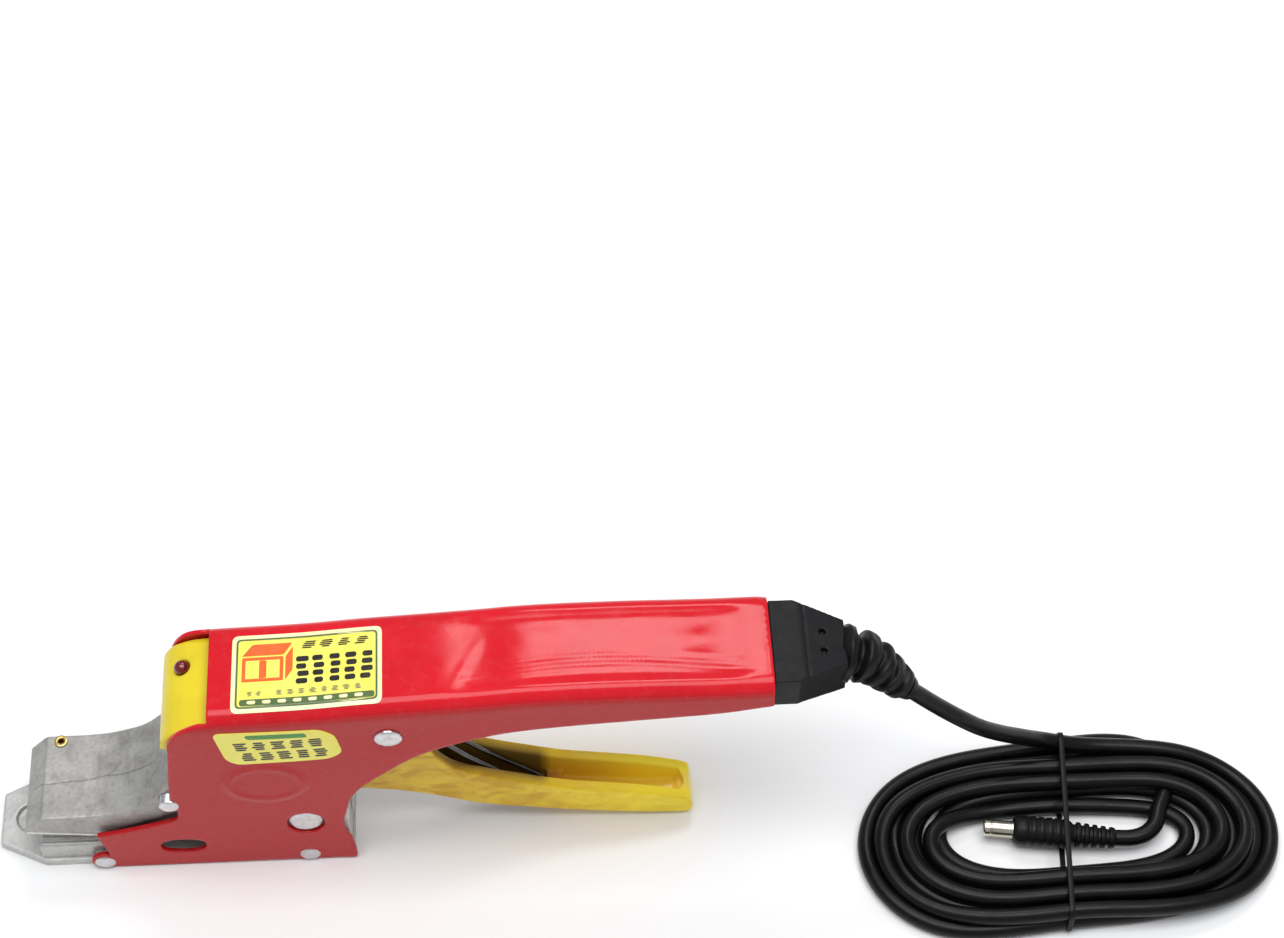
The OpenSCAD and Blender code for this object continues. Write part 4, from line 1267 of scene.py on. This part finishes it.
def make_cap():
    cap = cad_copy("front_cap_moulding", "front_cap")
    cast_piece(cap, 0.30, 60, [(9, 0.05)], 101, "yellow", "front_cap")
    axis = (math.sin(LAMP_TILT), 0, math.cos(LAMP_TILT))
    lens = [(0, -4), (2.4, -4), (2.45, 0.3)]
    lens += [(2.45 * math.cos(a), 0.5 + 2.4 * math.sin(a)) for a in np.linspace(0, math.pi / 2, 12)]
    lens[-1] = (0, 2.9)
    lamp = lathe("indicator_lamp_lens", lens, LAMP_AT, axis, 40, 35)
    finish_piece(lamp, "lamp", "root", "indicator_lamp")


def prism(name, plan, low, high):
    """An upright solid over a plan outline; low and high give z at a plan point."""
    n = len(plan)
    points = [(x, y, low(x, y)) for x, y in plan] + [(x, y, high(x, y)) for x, y in plan]
    faces = [tuple(range(n))[::-1], tuple(range(n, 2 * n))]
    faces += [(i, (i + 1) % n, n + (i + 1) % n, n + i) for i in range(n)]
    return mesh_object(name, points, faces, 30)


def make_trigger():
    """The lever: its channel ends round, with a stop in it for the spring, and its outside is worn."""
    lever = cad_copy("trigger_lever", "trigger")
    bend = arc((160.3, 0), 3.7, -90, 90, 18)
    cut(lever, prism("channel_end", [(150, -3.7)] + bend + [(150, 3.7)],
                     lambda x, y: 6.3 + 1.4 * float(ease(x, 156, 164)), lambda x, y: 22))
    cut(lever, prism("spring_stop", [(119.4, -4.2), (123.9, -4.2), (124.6, 4.2), (119.4, 4.2)],
                     lambda x, y: 8.5, lambda x, y: 14.3 - 0.12 * (x - 119)), "UNION")
    moulded(lever, 0.38, 12)
    p, n = skin(lever)
    outer = ease(np.abs(p[:, 1]), 6.2, 7.0) * ease(np.abs(n[:, 1]), 0.8, 0.95)
    worn = outer * ease(p[:, 0], 84, 90) * (1 - ease(p[:, 0], 118, 150))
    streak = lumps(p * np.array([0.45, 1, 1]), 3.2, 111) * 0.5 + lumps(p, 1.3, 112) * 0.3
    push = 0.03 * lumps(p, 14, 113) - worn * 0.14 * np.clip(streak, -0.2, 1)
    set_coords(lever.data, p + n * push[:, None])
    finish_piece(lever, "lever", "trigger", "trigger")


def make_trigger_spring():
    """Two wire coils round the trigger's pin, joined where they press on the lever."""
    wire, coil = 0.8, 5
    half = [(56.5, -2.9, 87.2), (62, -2.9, 84.4)]
    half += [(x, -2.9 + 1.9 * i / 20, z)
             for i, (x, z) in enumerate(arc(TRIGGER_PIVOT, coil, 90, -360, 21))]
    half += [(77.3, -1.8, 67), (83, -2.3, 51.5), (92, -2.6, 38.4), (102, -2.6, 27.5), (112, -2.6, 18),
             (117, -2, 14.2), (118.6, -1, 13)]
    whole = half + [(x, -y, z) for x, y, z in half[::-1]]
    spring = as_mesh(curve_object("trigger_spring_wire", even(smooth_line(whole, 4), 1.3), wire, 3))
    flexible(spring, "spring", "trigger_spring")


def make_connector():
    """The connector, with a groove across its top and two dots behind it."""
    body = cad_copy("cord_connector_moulding", "cord_connector")
    groove = [(198.3, -20), (199.0, -20), (199.0, 20), (198.3, 20)]
    cut(body, prism("groove", groove, lambda x, y: 92.05, lambda x, y: 111.05))
    for y in (-3.4, 3.4):
        cut(body, lathe("dot", [(0, -2.4), (1.0, -2.4), (1.0, 3), (0, 3)], (204, y, 92), (0, 0, 1), 24))
    cast_piece(body, 0.26, 8, [(8, 0.06), (1.6, 0.012)], 121, "black", "cord_connector")


def sweep(name, path, radii, sides):
    """A closed tube with its own radius at each point of the path."""
    n = len(path)
    tangent = np.gradient(path, axis=0)
    tangent /= np.linalg.norm(tangent, axis=1)[:, None]
    turns = [2 * math.pi * k / sides for k in range(sides)]
    side = np.array([0.0, 1.0, 0.0])
    points = []
    for k in range(n):
        side = side - tangent[k] * (side @ tangent[k])
        side /= np.linalg.norm(side)
        up = np.cross(tangent[k], side)
        points += [path[k] + radii[k] * (math.cos(a) * side + math.sin(a) * up) for a in turns]
    faces = ring_faces(n, sides)
    faces += [tuple(range(sides))[::-1], tuple(range((n - 1) * sides, n * sides))]
    obj = mesh_object(name, points, faces, 60)
    with edited(obj.data) as bm:
        bmesh.ops.recalc_face_normals(bm, faces=bm.faces)
    return obj


def make_relief():
    """Ribbed sleeve: rounded ribs that shrink towards the cord, and a smooth end."""
    path = even(smooth_line([(209.6, 0.1, 84.3)] + RELIEF_PATH, 12), 0.22)
    along = np.linspace(0, 1, len(path))
    outer = 9.3 - 4.6 * along
    ribs = 5.0
    phase = (along * 1.08 + 0.02) * ribs % 1.0
    rib = ease(phase, 0.04, 0.30) * (1 - ease(phase, 0.66, 0.94))
    rib = np.where(along > 0.91, 0.55, rib)
    core = np.maximum(outer * 0.68, 3.3)
    sleeve = sweep("strain_relief_sleeve", path, core + (outer - core) * rib, 44)
    roughen(sleeve, [(7, 0.32), (2.4, 0.08)], 131)
    shade(sleeve, 60)
    finish_piece(sleeve, "rubber", "root", "strain_relief")


def flexible(piece, material, node):
    """Gives a spring or lead its material, hides the CAD node that it replaces and bakes its placement into
    its mesh.
    """
    dress(piece, material)
    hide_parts(node)
    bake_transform(piece)


def trimmed(obj, height, keep_above):
    """Cuts the piece level at a height and closes the cut."""
    with edited(obj.data) as bm:
        bmesh.ops.bisect_plane(bm, geom=[*bm.verts, *bm.edges, *bm.faces], plane_co=(0, 0, height * MM),
                               plane_no=(0, 0, 1), clear_inner=keep_above, clear_outer=not keep_above)
        bmesh.ops.holes_fill(bm, edges=[e for e in bm.edges if e.is_boundary])
    return obj


def rounded_copy(node, width):
    """A CAD node's own shape with rounded edges."""
    piece = cad_copy(node + "_part", node)
    with edited(piece.data) as bm:
        bmesh.ops.dissolve_limit(bm, angle_limit=math.radians(0.6), verts=bm.verts, edges=bm.edges)
    bevel(piece, width, 32)
    modifier(piece, "TRIANGULATE")
    apply_modifiers(piece)
    shade(piece, 38)
    return piece


LEADS_SPLIT = 40.0


def make_flexible_parts():
    """The jaw's spring and the heater's leads, which are split where they pass from jaw to body."""
    spring = rounded_copy("jaw_spring", 0)
    flexible(spring, "spring", "jaw_spring")
    lower = trimmed(rounded_copy("heater_leads", 0), LEADS_SPLIT, False)
    flexible(lower, "sleeve", "heater_leads")
    upper = trimmed(rounded_copy("heater_leads", 0), LEADS_SPLIT, True)
    upper.name = "heater_leads_upper"
    flexible(upper, "sleeve", "heater_leads")


def make_small_parts():
    """The hard parts inside: (node, material, width of the rounded edges) on each body."""
    inside_parts = {
        "root": (("anvil_screws", "dark", 0.15), ("lamp_board", "board", 0.1),
                 ("spring_seat", "tool", 0.15), ("terminal_block", "cream", 0.25),
                 ("terminal_screws", "brass", 0.1), ("power_wires", "wire_red", 0),
                 ("lamp_wires", "wire_black", 0), ("handle_socket", "black", 0.3)),
        "blade_carriage": (("heater_blade", "blade", 0.12), ("heater_element", "ceramic", 0.2),
                           ("heater_clamp", "tool", 0.15), ("clamp_screws", "dark", 0.12),
                           ("heat_insulator", "mica", 0.08), ("blade_carrier", "tool", 0.15),
                           ("carrier_pin", "rivet", 0.12)),
        "trigger": (("trigger_bush", "brass", 0.12), ("link_pin", "rivet", 0.15)),
        "pull_link": (("pull_link", "tool", 0.2),)}
    for body, parts in inside_parts.items():
        for node, material, width in parts:
            finish_piece(rounded_copy(node, width), material, body, node)


make_shell()
make_top_label()
make_side_label()
make_rivets()
make_jaw()
make_base()
make_cap()
make_trigger()
make_trigger_spring()
make_connector()
make_relief()
make_small_parts()
make_flexible_parts()
